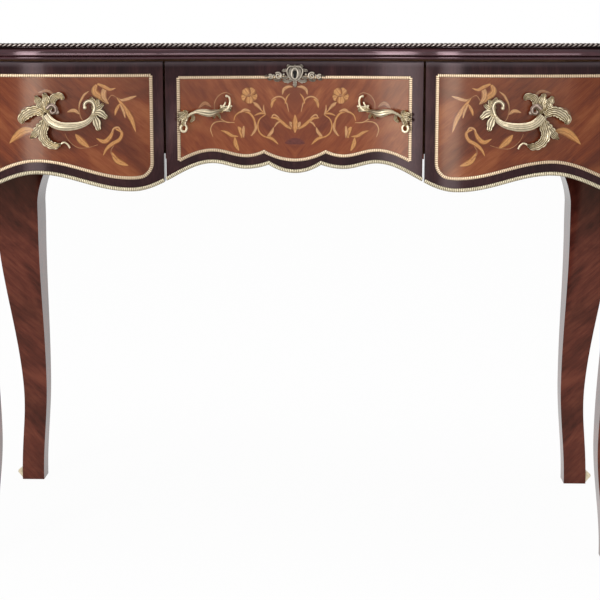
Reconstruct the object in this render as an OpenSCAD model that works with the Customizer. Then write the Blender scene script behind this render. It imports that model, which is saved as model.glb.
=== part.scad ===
// Kidney-shaped writing desk on four cabriole legs, with three drawers in the hollow front.
// X is to the sitter's right, Y to the back and Z up; the origin is on the floor, in the middle.

/* [Overall size] */
// Width over the edge of the top
top_w = 1150; // [1120:5:1200]
// Depth over the edge of the top
top_d = 680; // [660:5:720]
// Height over the rope band
height = 780; // [740:5:800]

/* [Kidney outline] */
// How far the top stands out past the case
overhang = 22; // [18:1:28]
// Depth of the hollow in the front
recess = 75; // [60:1:85]
// Distance of each lobe's foremost point from the end of the case
lobe_in = 233; // [223:1:243]
// Radius of the front lobes
lobe_r = 270; // [255:5:290]
// Radius of the four corners
corner_r = 90; // [80:1:100]
// Radius of the bowed ends
side_r = 1500; // [1200:50:2000]
// Place of the ends' widest point, front to back
side_y = -10; // [-20:1:10]
// Radius of the bowed back
back_r = 1600; // [1400:50:1900]

/* [Top] */
// Thickness of the rope band
rope_dia = 5; // [4:0.5:8]
// Height of the moulding below the rope band
moulding_h = 17; // [15:1:22]
// Width of the moulding
moulding_w = 14; // [12:1:15]
// How far the rope band stands over the writing surface
rope_proud = 2; // [1:0.5:3]
// Thickness of the writing leather
leather_t = 1.5; // [1:0.5:2.5]
// Distance of the leather from the edge of the top
leather_inset = 72; // [60:1:90]

/* [Case] */
// Height of the drawer case above its lower rail
case_h = 135; // [125:1:150]
// Thickness of the end and back panels
panel_t = 18; // [15:1:22]
// Thickness of the rails, runners and kickers
rail_t = 12; // [10:1:15]
// Width of the front rails
rail_w = 60; // [45:1:70]
// Thickness of the two dividers
divider_t = 18; // [15:1:22]
// Width of each bearer beside a divider
bearer_w = 50; // [46:1:60]
// Diameter of the screws that hold the top
screw_dia = 4; // [3:0.5:5]
// Length of the screws that hold the top
screw_l = 24; // [20:1:28]

/* [Legs] */
// Distance of each leg's inner face from the end of the case
leg_in = 87; // [84:1:93]
// Distance of the front legs' inner face from the front of the case
front_leg_in = 128; // [124:1:136]
// Distance of the rear legs' inner face from the back of the case
rear_leg_in = 139; // [134:1:146]
// Width of the knee
knee_w = 75; // [70:1:78]
// Width of the ankle
ankle_w = 39; // [34:1:44]
// Height at which the knee's inward sweep starts
knee_z = 450; // [430:5:470]
// Height of the innermost point of the sweep
ankle_z = 185; // [160:5:210]
// How far the ankle sweeps inwards
ankle_in = 9; // [4:1:16]
// How far the foot turns out past the inner face of the knee
foot_out = 3; // [0:1:10]
// Height at which the leg leaves the case's outline
post_z = 575; // [560:5:585]

/* [Drawers] */
// Distance of the gaps between the drawers from the middle
gap_x = 185; // [180:1:190]
// Width of the gaps between the drawer fronts
gap = 3; // [2:0.5:7]
// Gap between the drawer fronts and the top
front_gap = 3; // [2:0.5:6]
// Thickness of the drawer fronts
front_t = 20; // [18:1:24]
// Gap between the drawer fronts and the legs
leg_gap = 2; // [1:0.5:3]
// Gap behind the drawer fronts when the drawers are shut
shut_gap = 0.5; // [0.4:0.1:1]
// Thickness of the drawer sides and backs
board_t = 12; // [10:1:14]
// Thickness of the drawer bottoms
bottom_t = 5; // [4:1:7]
// How far the bottoms lie above the lower edge of the sides
bottom_lift = 6; // [4:1:10]
// Height of the drawer sides
side_h = 105; // [95:1:106]
// Play at each side of a drawer
side_play = 1; // [0.6:0.1:1.5]
// Play under a drawer
run_play = 0.3; // [0.2:0.1:0.5]
// Distance of the drawers' backs from the back of the case
drawer_short = 148; // [135:1:170]

/* [Serpentine apron] */
// Height of the fronts at the middle
h_middle = 161.5; // [158:0.5:168]
// Height of the fronts at the pointed cusps
h_cusp = 149; // [146:0.5:153]
// Height of the fronts beside the cusps
h_dip = 155; // [153:0.5:160]
// Height of the fronts at the inner arches
h_arch = 146; // [142:0.5:150]
// Height of the fronts at the hanging lobes
h_lobe = 183; // [178:0.5:188]
// Height of the fronts at the outer arches
h_outer = 158; // [155:0.5:165]
// Height that the curve would reach past the legs
h_leg = 197; // [190:0.5:200]
// Distance of the cusps from the middle
x_cusp = 38; // [34:1:44]
// Distance of the dips from the middle
x_dip = 70; // [64:1:76]
// Distance of the inner arches from the middle
x_arch = 119.5; // [112:0.5:128]
// Distance of the hanging lobes from the gaps between the drawers
lobe_past = 43; // [37:1:51]
// Distance of the outer arches from the legs
outer_in = 104; // [92:1:114]
// How far past the legs' inner face the curve would end
leg_past = 34; // [26:1:46]

/* [Brass trim] */
// Height of the border above the centre drawer's field
border_top = 23; // [18:0.5:25]
// Height of the border above the side drawers' fields
border_top_side = 19.5; // [17:0.5:25]
// Height of the border below the fields
border_low = 19; // [17:0.5:25]
// Width of the border at the sides of the centre drawer's field
border_end = 18; // [14:0.5:20]
// Width of the border between the gaps and the side drawers' fields
border_side = 16; // [14:0.5:18]
// Width of the border beside the legs
border_leg = 20; // [16:0.5:24]
// Radius of the field's rounded corner on the side drawers
field_r = 16; // [12:1:20]
// Distance of the stringing's cusps from the middle
string_cusp = 45; // [40:1:50]
// Width of the milled stringing
string_w = 4.7; // [3:0.1:5.5]
// How far the stringing stands out
string_h = 0.8; // [0.6:0.1:1.2]
// Height of the band along the lower edges
band_h = 5.5; // [5:0.5:8]
// Thickness of the band along the lower edges
band_t = 2; // [1.5:0.1:3]
// Height of the foot mounts
sabot_h = 98; // [80:1:115]
// How far the scrolled toes stand out past the foot mounts
toe_out = 11; // [5:1:13]
// Thickness of the foot and knee mounts
mount_t = 2.5; // [2:0.1:4]
// Height of the knee mounts
chute_h = 215; // [180:5:225]

/* [Handles] */
// Distance of the large handles' stems from the outer ends of the fronts
big_in = 152; // [146:1:158]
// Drop of the large handles' bolts below the top of the fronts
big_drop = 76; // [70:1:82]
// Distance between the bolts of a large handle
big_span = 70; // [66:1:74]
// How far the large handles stand out
big_out = 22; // [20:1:26]
// Distance of the small handles' outer bolts from the ends of the centre front
small_in = 26.5; // [25:0.5:31]
// Drop of the small handles' bolts below the top of the fronts
small_drop = 71; // [68:1:76]
// Distance between the bolts of a small handle
small_span = 52; // [48:1:54]
// How far the small handles stand out
small_out = 21; // [18:1:24]
// Diameter of the handle bolts
bolt_dia = 4; // [3:0.5:4.5]
// Diameter of the handles' feet
boss_dia = 12; // [10:1:14]

/* [Lock] */
// Width of the lock case
lock_w = 60; // [50:1:70]
// Height of the lock case
lock_h = 42; // [38:1:46]
// Thickness of the lock case
lock_t = 14; // [13:1:16]
// Width of the bolt
lock_bolt_w = 22; // [18:1:26]
// Thickness of the bolt
lock_bolt_t = 5; // [4:0.5:6]
// Height of the bolt
lock_bolt_h = 14; // [12:1:18]
// Travel of the bolt
lock_throw = 6; // [4:0.5:6.5]
// Width of the round of the keyhole
key_dia = 7; // [6:0.5:8]
// Drop of the keyhole's round below the top of the fronts
key_drop = 17; // [15:1:20]
// Width of the escutcheon
plate_w = 84; // [76:1:90]
// Height of the escutcheon
plate_h = 31; // [28:1:34]
// Thickness of the escutcheon
plate_t = 2; // [1.5:0.1:3]

/* [Hidden] */

// Seat between a mount and the curved face that it lies on
seat = 0.08;
leg_seat = 0.5;
// Glue line between a board's end and the curved face that it meets
glue = 0.25;
// Play round the handle bolts, the screws and the lock bolt
hole_play = 0.1;
lock_play = 0.3;
step = 13;

case_top = height - rope_dia - moulding_h;
board_top = height - rope_proud;
front_top = case_top - front_gap;
case_bottom = case_top - case_h;
half_w = top_w / 2 - overhang;
front_apex = overhang - top_d / 2;
back_apex = top_d / 2 - overhang;
lobe_x = half_w - lobe_in;
leg_x = half_w - leg_in;
front_leg_y = -front_apex - front_leg_in;
rear_leg_y = back_apex - rear_leg_in;
drawer_back = back_apex - drawer_short;
board_edge = overhang - moulding_w;
runner_top = case_bottom + rail_t;
kicker_z = case_top - rail_t;
box_z = runner_top + run_play;
front_end = leg_x - leg_gap;
centre_end = gap_x - gap / 2;
side_start = gap_x + gap / 2;
x_lobe = gap_x + lobe_past;
x_outer = leg_x - outer_in;
x_leg = leg_x + leg_past;

// Circles of the outline: the hollow, a lobe, a front corner, an end, a rear corner and the back
reach_sum = (lobe_x * lobe_x + recess * recess) / (2 * recess);
front_r = reach_sum - lobe_r;
front_c = [0, front_apex + recess - front_r];
lobe_c = [lobe_x, front_apex + lobe_r];
side_c = [half_w - side_r, side_y];
back_c = [0, back_apex - back_r];
front_corner_c = meet(side_c, side_r - corner_r, lobe_c, lobe_r - corner_r, -1);
rear_corner_c = meet(side_c, side_r - corner_r, back_c, back_r - corner_r, 1);
turn_1 = asin(lobe_x / reach_sum);
turn_2 = heading(front_corner_c - lobe_c);
turn_3 = heading(front_corner_c - side_c);
turn_4 = heading(rear_corner_c - side_c);
turn_5 = heading(rear_corner_c - back_c);

function heading(v) = atan2(v.y, v.x);
function mix(a, b, t) = a + (b - a) * t;
function clamp(t) = min(max(t, 0), 1);
function ease(t) = (1 - cos(180 * clamp(t))) / 2;

// The point at the distance rp from p and rq from q, to the left (side 1) or right (side -1) of the way from p to q
function meet(p, rp, q, rq, side) =
  let (way = q - p, l = norm(way), a = (l * l + rp * rp - rq * rq) / (2 * l))
  let (h = sqrt(rp * rp - a * a), u = way / l)
  p + a * u + side * h * [-u.y, u.x];

// Arcs of the right half from front to back, d outside the case: centre, radius, first and last angle, bend
function arcs(d) = [
  [front_c, front_r - d, 90, 90 - turn_1, -1],
  [lobe_c, lobe_r + d, -90 - turn_1, turn_2, 1],
  [front_corner_c, corner_r + d, turn_2, turn_3, 1],
  [side_c, side_r + d, turn_3, turn_4, 1],
  [rear_corner_c, corner_r + d, turn_4, turn_5, 1],
  [back_c, back_r + d, turn_5, 90, 1]
];
arc_steps = [7, 8, 4, 4, 6, 7];

function half_outline(d) = [
  for (k = [0 : 5], i = [0 : arc_steps[k] - 1])
    let (arc = arcs(d)[k], a = mix(arc[2], arc[3], i / arc_steps[k]))
    arc[0] + arc[1] * [cos(a), sin(a)]
];
function outline(d) =
  let (right = half_outline(d), n = len(right), back = [0, back_apex + d])
  concat(right, [back], [for (i = [n - 1 : -1 : 1]) [-right[i].x, right[i].y]]);

// Distance from p, inside the case, along the unit direction u to the outline d outside the case
function hits(p, u, arc) =
  let (m = p - arc[0], b = m * u, q = b * b - m * m + arc[1] * arc[1])
  q < 0 ? [] :
  let (r = -b + arc[4] * sqrt(q), a = heading(m + r * u))
  let (low = min(arc[2], arc[3]) - 0.01, high = max(arc[2], arc[3]) + 0.01)
  r > 0 && a >= low && a <= high ? [r] : [];
function reach(p, u, d = 0) = [for (arc = arcs(d)) each hits(p, u, arc)][0];
function front_y(x, d = 0) = -reach([abs(x), 0], [0, -1], d);
function back_y(x, d = 0) = reach([abs(x), 0], [0, 1], d);
function side_x(y, d = 0) = reach([0, y], [1, 0], d);
function face_turn(x) = atan2(front_y(x + 1) - front_y(x - 1), 2);

// Height of the fronts, and of the back, along the serpentine apron
function apron_h(x, cusp) =
  x < cusp ? mix(h_middle, h_cusp, pow(x / cusp, 2)) :
  x < x_dip ? mix(h_dip, h_cusp, pow((x_dip - x) / (x_dip - cusp), 2)) :
  x < x_arch ? mix(h_dip, h_arch, ease((x - x_dip) / (x_arch - x_dip))) :
  x < x_lobe ? mix(h_arch, h_lobe, ease((x - x_arch) / (x_lobe - x_arch))) :
  x < x_outer ? mix(h_lobe, h_outer, ease((x - x_lobe) / (x_outer - x_lobe))) :
  mix(h_outer, h_leg, ease((x - x_outer) / (x_leg - x_outer)));
function apron_z(x, cusp = x_cusp) = front_top - apron_h(abs(x), cusp);
// Height of the end panels' lower edge, from the front leg (0) to the rear leg (1)
function end_apron_z(t) =
  let (u = 2 * abs(2 * t - 1)) front_top - mix(h_lobe, h_outer, ease(u > 1 ? 2 - u : u));

// Stations between the key places, at most one step apart
function stations(keys) = concat([
  for (k = [0 : len(keys) - 2])
    let (n = ceil((keys[k + 1] - keys[k]) / step - 0.01))
    for (i = [0 : n - 1]) mix(keys[k], keys[k + 1], i / n)
], [keys[len(keys) - 1]]);
function fine(keys, n) = concat([
  for (k = [0 : len(keys) - 2], i = [0 : n - 1]) mix(keys[k], keys[k + 1], i / n)
], [keys[len(keys) - 1]]);
function mirrored(keys) = concat([for (i = [len(keys) - 1 : -1 : 0]) -keys[i]], [0], keys);
centre_stations = fine(mirrored([x_cusp, x_dip, x_arch, centre_end]), 4);
side_stations = stations([side_start, x_lobe, x_outer, front_end]);
back_stations = fine(mirrored([x_cusp, x_dip, x_arch, x_lobe, x_outer, leg_x]), 4);

// A closed solid through rings of points, open at its ends or joined round
module loft(rings, joined = false) {
  n = len(rings);
  m = len(rings[0]);
  points = [for (r = rings) each r];
  sides = [
    for (i = [0 : n - (joined ? 1 : 2)], j = [0 : m - 1])
      let (k = (i + 1) % n, l = (j + 1) % m)
      each [[i * m + j, i * m + l, k * m + l], [i * m + j, k * m + l, k * m + j]]
  ];
  first = [for (j = [1 : m - 2]) [0, j + 1, j]];
  last = [for (j = [1 : m - 2]) [(n - 1) * m, (n - 1) * m + j, (n - 1) * m + j + 1]];
  solid(points, joined ? sides : concat(sides, first, last));
}

// A closed solid between two grids of points, such as a leaf that lies on a curved face
module plate(front, back) {
  n = len(front);
  m = len(front[0]);
  points = concat([for (r = front) each r], [for (r = back) each r]);
  o = n * m;
  function two(a, b, c, d) = [[a, b, c], [a, c, d]];
  faces = concat(
    [for (i = [0 : n - 2], j = [0 : m - 2]) let (a = i * m + j) each two(a, a + 1, a + m + 1, a + m)],
    [for (i = [0 : n - 2], j = [0 : m - 2]) let (a = o + i * m + j) each two(a, a + m, a + m + 1, a + 1)],
    [for (j = [0 : m - 2]) each two(j + 1, j, o + j, o + j + 1)],
    [for (j = [0 : m - 2]) let (a = (n - 1) * m + j) each two(a, a + 1, o + a + 1, o + a)],
    [for (i = [0 : n - 2]) let (a = i * m) each two(a, a + m, o + a + m, o + a)],
    [for (i = [0 : n - 2]) let (a = i * m + m - 1) each two(a + m, a, o + a, o + a + m)]
  );
  solid(points, faces);
}

// Faces turned so that their outer side is outwards
module solid(points, faces) {
  bulk = [for (f = faces) cross(points[f[0]], points[f[1]]) * points[f[2]]] * [for (f = faces) 1];
  polyhedron(points = points, faces = bulk > 0 ? [for (f = faces) [f[2], f[1], f[0]]] : faces, convexity = 8);
}

module both_sides() {
  children();
  mirror([1, 0, 0]) children();
}

// Top

module top_board() {
  color("#5b2c1d") difference() {
    translate([0, 0, case_top]) linear_extrude(board_top - case_top) polygon(outline(board_edge));
    translate([0, 0, board_top - leather_t]) linear_extrude(leather_t + 1) polygon(outline(overhang - leather_inset));
    screw_holes(case_top + screw_l - rail_t + 1);
  }
}

module writing_leather() {
  color("#4a2318") translate([0, 0, board_top - leather_t])
    linear_extrude(leather_t) polygon(outline(overhang - leather_inset - hole_play));
}

module edge_ring(section) {
  rings = [for (s = section) [for (p = outline(s[0])) [p.x, p.y, s[1]]]];
  loft([for (i = [0 : len(rings[0]) - 1]) [for (r = rings) r[i]]], joined = true);
}

// A moulding of a small lower bead, a quirk and a thumb, set back under the rope band and rebated for it
module top_moulding() {
  rebate_z = height - rope_dia;
  profile = [
    [6.4, 0], [4.2, 0.13], [5.6, 0.26], [1.6, 0.36], [0.3, 0.6], [2.4, 0.87], [3.4, 1]
  ];
  section = concat(
    [[board_edge, case_top]],
    [for (p = profile) [overhang - p[0], mix(case_top, rebate_z, p[1])]],
    [[overhang - rope_dia - 0.2, rebate_z]],
    [[overhang - rope_dia - 0.2, board_top], [board_edge, board_top]]
  );
  color("#2c1418") edge_ring(section);
}

module rope_band() {
  r = rope_dia / 2;
  section = [for (i = [0 : 5]) let (a = 60 * i - 90) [overhang - r + r * cos(a), height - r + r * sin(a)]];
  color("#b8935a") edge_ring(section);
}

// Case

rail_front = -front_t - shut_gap;
rail_back = rail_front - rail_w;
outer_side = leg_x - rail_t - side_play;
outer_bearer_w = 26;
outer_bearer_x = leg_x - outer_bearer_w / 2;
bearer_places = [[gap_x, bearer_w], [outer_bearer_x, outer_bearer_w]];
function bearer_keys(p) = [p[0] - p[1] / 2, p[0], p[0] + p[1] / 2];

// A front rail, with stations where the bearers meet it
module rail(z) {
  xs = stations(mirrored([for (p = bearer_places) each bearer_keys(p)]));
  front = [for (x = xs) [x, front_y(x, rail_front)]];
  back = [for (i = [len(xs) - 1 : -1 : 0]) [xs[i], front_y(xs[i], rail_back)]];
  translate([0, 0, z]) linear_extrude(rail_t) polygon(concat(front, back));
}

// The lock bolt's middle, front to back
lock_y = front_y(lock_w / 2, -front_t) + lock_t * 0.6;

module front_top_rail() {
  color("#6b3a22") difference() {
    rail(kicker_z);
    translate([-lock_bolt_w / 2 - 1, lock_y - lock_bolt_t / 2 - 1, kicker_z - 1])
      cube([lock_bolt_w + 2, lock_bolt_t + 2, lock_throw + 3]);
  }
}

module front_lower_rail() {
  color("#6b3a22") rail(case_bottom);
}

module divider(x) {
  xs = [x - divider_t / 2, x, x + divider_t / 2];
  front = [for (v = xs) [v, front_y(v, rail_front)]];
  back = [for (i = [2 : -1 : 0]) [xs[i], back_y(xs[i], -panel_t - glue)]];
  color("#7a4628") translate([0, 0, runner_top]) linear_extrude(kicker_z - runner_top) polygon(concat(front, back));
}

// A bearer from a front rail to the back panel
module bearer(p) {
  xs = stations(bearer_keys(p));
  front = [for (v = xs) [v, front_y(v, rail_back - glue)]];
  back = [for (i = [len(xs) - 1 : -1 : 0]) [xs[i], back_y(xs[i], -panel_t - glue)]];
  linear_extrude(rail_t) polygon(concat(front, back));
}

module bearers() {
  both_sides() for (p = bearer_places) bearer(p);
}

// Runners under the drawer sides; the outer ones carry a guide beside the drawer
module drawer_runners() {
  guide_w = leg_x - outer_side - side_play;
  color("#8a5a36") {
    translate([0, 0, case_bottom]) bearers();
    both_sides() translate([leg_x - guide_w, -front_leg_y + 20, runner_top])
      cube([guide_w, front_leg_y + rear_leg_y - 30, rail_t]);
  }
}

module drawer_kickers() {
  color("#8a5a36") difference() {
    translate([0, 0, kicker_z]) bearers();
    screw_holes(case_top + 1);
  }
}

screw_x = gap_x + divider_t / 2 + 2 * screw_dia;
screw_places = [[screw_x, -100], [screw_x, 150], [outer_bearer_x, -120], [outer_bearer_x, 120]];

module screw_holes(top) {
  both_sides() for (p = screw_places) translate([p.x, p.y, kicker_z - 1])
    cylinder(h = top - kicker_z + 1, d = screw_dia + 2 * hole_play, $fn = 32);
}

module top_screws() {
  color("#9a8660") both_sides() for (p = screw_places) translate([p.x, p.y, kicker_z]) {
    cylinder(h = screw_l, d = screw_dia, $fn = 32);
    translate([0, 0, -2]) cylinder(h = 2, d = 2 * screw_dia, $fn = 32);
  }
}

module end_panel() {
  n = 18;
  rings = [for (i = [0 : n]) let (t = i / n, y = mix(-front_leg_y, rear_leg_y, t)) [
    [side_x(y), y, end_apron_z(t)], [side_x(y), y, case_top],
    [side_x(y, -panel_t), y, case_top], [side_x(y, -panel_t), y, end_apron_z(t)]
  ]];
  color("#6a3324") loft(rings);
}

module back_panel() {
  rings = [for (x = back_stations) [
    [x, back_y(x, -panel_t), apron_z(x)], [x, back_y(x), apron_z(x)],
    [x, back_y(x), case_top], [x, back_y(x, -panel_t), case_top]
  ]];
  color("#6a3324") loft(rings);
}

// Legs: square in section, swept in both directions; end is -1 for a front leg and 1 for a rear leg

function leg_sweep(z) =
  z > ankle_z ? ankle_in * ease((knee_z - z) / (knee_z - ankle_z)) :
  mix(ankle_in, -foot_out, ease((ankle_z - z) / ankle_z));
function leg_root(end) = [leg_x, end < 0 ? -front_leg_y : rear_leg_y];
function leg_corner(end, z) = leg_root(end) - leg_sweep(z) * [1, end];
taper_z = [520, 110];
function leg_w(z) = mix(knee_w, ankle_w, ease((taper_z[0] - z) / (taper_z[0] - taper_z[1])));
// Distance from the leg's inner corner to its outer faces, a degrees from the front or back face to the end face
function leg_reach(end, z, a) =
  let (sharp = mix(4, 14, clamp((post_z - z) / 250)), s = abs(sin(a)), c = abs(cos(a)))
  let (square = leg_w(z) / pow(pow(s, sharp) + pow(c, sharp), 1 / sharp))
  let (post = reach(leg_root(end), [sin(a), end * cos(a)]))
  mix(post, square, ease((post_z - z) / (post_z - knee_z)));
function leg_point(end, z, a, out = 0) =
  let (r = leg_reach(end, z, a) + out)
  [leg_corner(end, z).x + r * sin(a), leg_corner(end, z).y + end * r * cos(a), z];

module leg(end) {
  angles = [for (i = [-7 : 7]) let (t = i / 7) 45 + 45 * (0.45 * t + 0.55 * pow(t, 3))];
  heights = concat(
    [case_top], [for (i = [0 : 6]) mix(post_z, knee_z, i / 7)],
    [for (i = [0 : 6]) mix(knee_z, 120, i / 7)], [for (i = [0 : 5]) 120 * (1 - i / 5)]
  );
  rings = [for (z = heights) concat(
    [[leg_corner(end, z).x, leg_corner(end, z).y, z]],
    [for (a = angles) leg_point(end, z, a)]
  )];
  color("#6f3022") loft(rings);
}

// A leaf on the outer corner of a leg, from the height z0 to z1, with its half width and thickness from functions
module corner_leaf(end, z0, z1, rows, half, thick) {
  heights = [for (i = [0 : rows]) mix(z0, z1, i / rows)];
  places = [for (i = [-4 : 4]) let (t = i / 4) 0.45 * t + 0.55 * pow(t, 3)];
  front = [for (i = [0 : rows]) [for (t = places)
    leg_point(end, heights[i], 45 + t * half(i / rows), leg_seat + thick(i / rows, t))]];
  back = [for (i = [0 : rows]) [for (t = places)
    leg_point(end, heights[i], 45 + t * half(i / rows), leg_seat)]];
  color("#b8935a") plate(front, back);
}

// Open at the back, with a scrolled toe and a leaf that climbs the corner
module sabot(end) {
  corner_leaf(end, 1, sabot_h, 9,
    function (t) 5 + 31 * pow(1 - t, 0.8) * (1 + 0.12 * cos(1080 * t)),
    function (t, v) mount_t * (1 - 0.4 * t) + toe_out * exp(-pow((t - 0.08) / 0.1, 2)) * (1 - abs(v)));
}

module knee_mount(end) {
  top = case_top - 8;
  corner_leaf(end, top - chute_h, top, 10,
    function (t) 4 + 26 * pow(sin(90 * t), 0.7) * (1 + 0.14 * cos(1080 * t)),
    function (t, v) mount_t + 4 * exp(-pow((t - 0.62) / 0.16, 2)) * (1 - abs(v)));
}

// Drawers: from and to are the ends of the front

head_dia = 2.2 * bolt_dia;
// How far behind the outer face the bolts' heads bear, in their spot faces
bolt_grip = front_t - 1;

module bolt_holes(places) {
  for (p = places) along_y(p.x, p.z) {
    translate([0, 0, -front_t - 10]) cylinder(h = front_t + 30, d = bolt_dia + 2 * hole_play, $fn = 32);
    translate([0, 0, -bolt_grip - 20]) cylinder(h = 20, d = head_dia + 1, $fn = 32);
  }
}

// Places children at x and z on the front, with their Z axis out of the drawer: square to the face, or along Y
module on_face(x, z) {
  translate([x, front_y(x), z]) rotate([0, 0, face_turn(x)]) rotate([90, 0, 0]) children();
}
module along_y(x, z) {
  translate([x, front_y(x), z]) rotate([90, 0, 0]) children();
}

module front_board(xs) {
  r = 2.5;
  rings = [for (x = xs) let (y = front_y(x), b = front_y(x, -front_t), z = apron_z(x)) [
    [x, b, z], [x, y, z], [x, y, front_top - r],
    [x, y + 0.3 * r, front_top - 0.3 * r], [x, y + r, front_top], [x, b, front_top]
  ]];
  loft(rings);
}

big_x = front_end - big_in;
small_x = centre_end - small_in - small_span / 2;
big_places = [for (s = [-1, 1]) [big_x + s * big_span / 2, 0, front_top - big_drop]];
small_places = [for (s = [-1, 1]) [small_x + s * small_span / 2, 0, front_top - small_drop]];

module side_drawer_front() {
  color("#8b4a30") difference() {
    front_board(side_stations);
    bolt_holes(big_places);
  }
}

module keyhole(l) {
  slot_w = key_dia * 0.5;
  translate([0, 0, front_top - key_drop]) rotate([-90, 0, 0]) {
    cylinder(h = l, d = key_dia, $fn = 32);
    translate([-slot_w / 2, 0, 0]) cube([slot_w, 1.35 * key_dia, l]);
  }
}

lock_top = kicker_z - 1.5;
lock_front = lock_y - lock_t * 0.6;

module centre_drawer_front() {
  color("#8b4a30") difference() {
    front_board(centre_stations);
    both_sides() bolt_holes(small_places);
    translate([0, front_y(0) - 5, 0]) keyhole(front_t + 10);
    translate([-lock_w / 2 - hole_play, lock_front - hole_play, lock_top - lock_h - hole_play])
      cube([lock_w + 2 * hole_play, lock_t, lock_h + 2 * hole_play]);
    for (x = lock_screw_x) translate([x, lock_front, lock_screw_z]) rotate([90, 0, 0])
      cylinder(h = 8, d = 2.5 + 2 * hole_play, $fn = 24);
  }
}

inner_side = gap_x + divider_t / 2 + side_play;
centre_side = gap_x - divider_t / 2 - side_play;

// A board of the drawer box that runs back from the curved inner face of the front
module boxed(x0, x1, y1, z, h) {
  xs = stations([x0, x1]);
  front = [for (x = xs) [x, front_y(x, -front_t - glue)]];
  translate([0, 0, z]) linear_extrude(h) polygon(concat(front, [[x1, y1], [x0, y1]]));
}

module box_sides(x0, x1) {
  color("#b07b4a") {
    boxed(x0, x0 + board_t, drawer_back, box_z, side_h);
    boxed(x1 - board_t, x1, drawer_back, box_z, side_h);
  }
}

module box_back(x0, x1) {
  base = bottom_lift + bottom_t;
  color("#b07b4a") translate([x0 + board_t, drawer_back - board_t, box_z + base])
    cube([x1 - x0 - 2 * board_t, board_t, side_h - base]);
}

module box_bottom(x0, x1) {
  color("#c79a67") boxed(x0 + board_t, x1 - board_t, drawer_back, box_z + bottom_lift, bottom_t);
}

// Milled stringing round the field, as a closed strip with mitred corners

function lower_line(x) = apron_z(x, string_cusp) + border_low;
// Outline of the field in x and z, up to the height top, with its first lower corner rounded by r
function field_path(xs, x0, x1, r, top) =
  let (inside = [for (x = xs) if (x > x0 + r + 2 && x < x1 - 2) x])
  let (along_top = [for (x = xs) if (x > x0 + 2 && x < x1 - 2) x])
  concat(
    [for (a = r > 0 ? [90, 68, 45, 22, 0] : [0]) let (x = x0 + r - r * sin(a)) [x, lower_line(x) + r - r * cos(a)]],
    [for (x = inside) [x, lower_line(x)]],
    [[x1, lower_line(x1)], [x1, top]],
    [for (i = [len(along_top) - 1 : -1 : 0]) [along_top[i], top]],
    [[x0, top]]
  );
function mitre(path, i, off) =
  let (n = len(path), p = path[i], a = p - path[(i + n - 1) % n], b = path[(i + 1) % n] - p)
  let (u = a / norm(a), v = b / norm(b), m = [-u.y - v.y, u.x + v.x])
  p + off * 2 * m / (m * m);

module stringing(xs, x0, x1, r, top) {
  path = field_path(xs, x0, x1, r, top);
  section = [[-0.5, 0], [-0.36, 1], [0.36, 1], [0.5, 0]];
  rings = [for (i = [0 : len(path) - 1]) [for (s = section)
    let (q = mitre(path, i, s[0] * string_w)) [q.x, front_y(q.x) - seat - s[1] * string_h, q.y]]];
  color("#d8b878") loft(rings, joined = true);
}

module side_stringing() {
  stringing(side_stations, side_start + border_side, front_end - border_leg, field_r,
    front_top - border_top_side);
}

module centre_stringing() {
  xs = fine(mirrored([string_cusp, x_dip, x_arch, centre_end]), 4);
  stringing(xs, border_end - centre_end, centre_end - border_end, 0, front_top - border_top);
}

module edge_band(xs) {
  rings = [for (x = xs) let (y = front_y(x) - seat, z = apron_z(x)) [
    [x, y, z], [x, y - 0.7 * band_t, z], [x, y - band_t, z + 0.3 * band_h],
    [x, y - band_t, z + 0.7 * band_h], [x, y - 0.7 * band_t, z + band_h], [x, y, z + band_h]
  ]];
  color("#d8b878") loft(rings);
}

module end_edge_band() {
  n = 18;
  rings = [for (i = [0 : n]) let (t = i / n, y = mix(-front_leg_y, rear_leg_y, t), z = end_apron_z(t)) [
    [side_x(y) + seat, y, z], [side_x(y, band_t), y, z + 0.2 * band_h],
    [side_x(y, band_t), y, z + 0.8 * band_h], [side_x(y) + seat, y, z + band_h]
  ]];
  color("#d8b878") loft(rings);
}

module back_edge_band() {
  rings = [for (x = back_stations) let (z = apron_z(x)) [
    [x, back_y(x) + seat, z], [x, back_y(x, band_t), z + 0.2 * band_h],
    [x, back_y(x, band_t), z + 0.8 * band_h], [x, back_y(x) + seat, z + band_h]
  ]];
  color("#d8b878") loft(rings);
}

// Handles: a limb through places [x, z, out, width, thickness] measured from the middle of its stem

function limb_ring(path, i, mid, z0, sides) =
  let (p = path[i], a = path[max(i - 1, 0)], b = path[min(i + 1, len(path) - 1)])
  let (u = [b[0] - a[0], b[1] - a[1]] / norm([b[0] - a[0], b[1] - a[1]]))
  [for (k = [0 : sides - 1]) let (q = 360 * (k + 0.5) / sides, w = p[3] / 2 * cos(q), t = p[4] / 2 * sin(q))
    let (x = mid + p[0] - u.y * w) [x, front_y(x) - p[2] - t, z0 + p[1] + u.x * w]];

module limb(path, mid, z0, sides) {
  loft([for (i = [0 : len(path) - 1]) limb_ring(path, i, mid, z0, sides)]);
}

// A leaf from its root over a bend to its tip, with its width
module leaf(l, mid, z0) {
  limb([for (i = [0 : 4]) let (t = i / 4, b = l[0] * pow(1 - t, 2) + l[1] * 2 * t * (1 - t) + l[2] * t * t)
    [b.x, b.y, mix(7, 5, t), l[3] * (0.4 + 0.65 * sin(160 * t)), mix(6, 3.5, t)]], mid, z0, 6);
}

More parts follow.
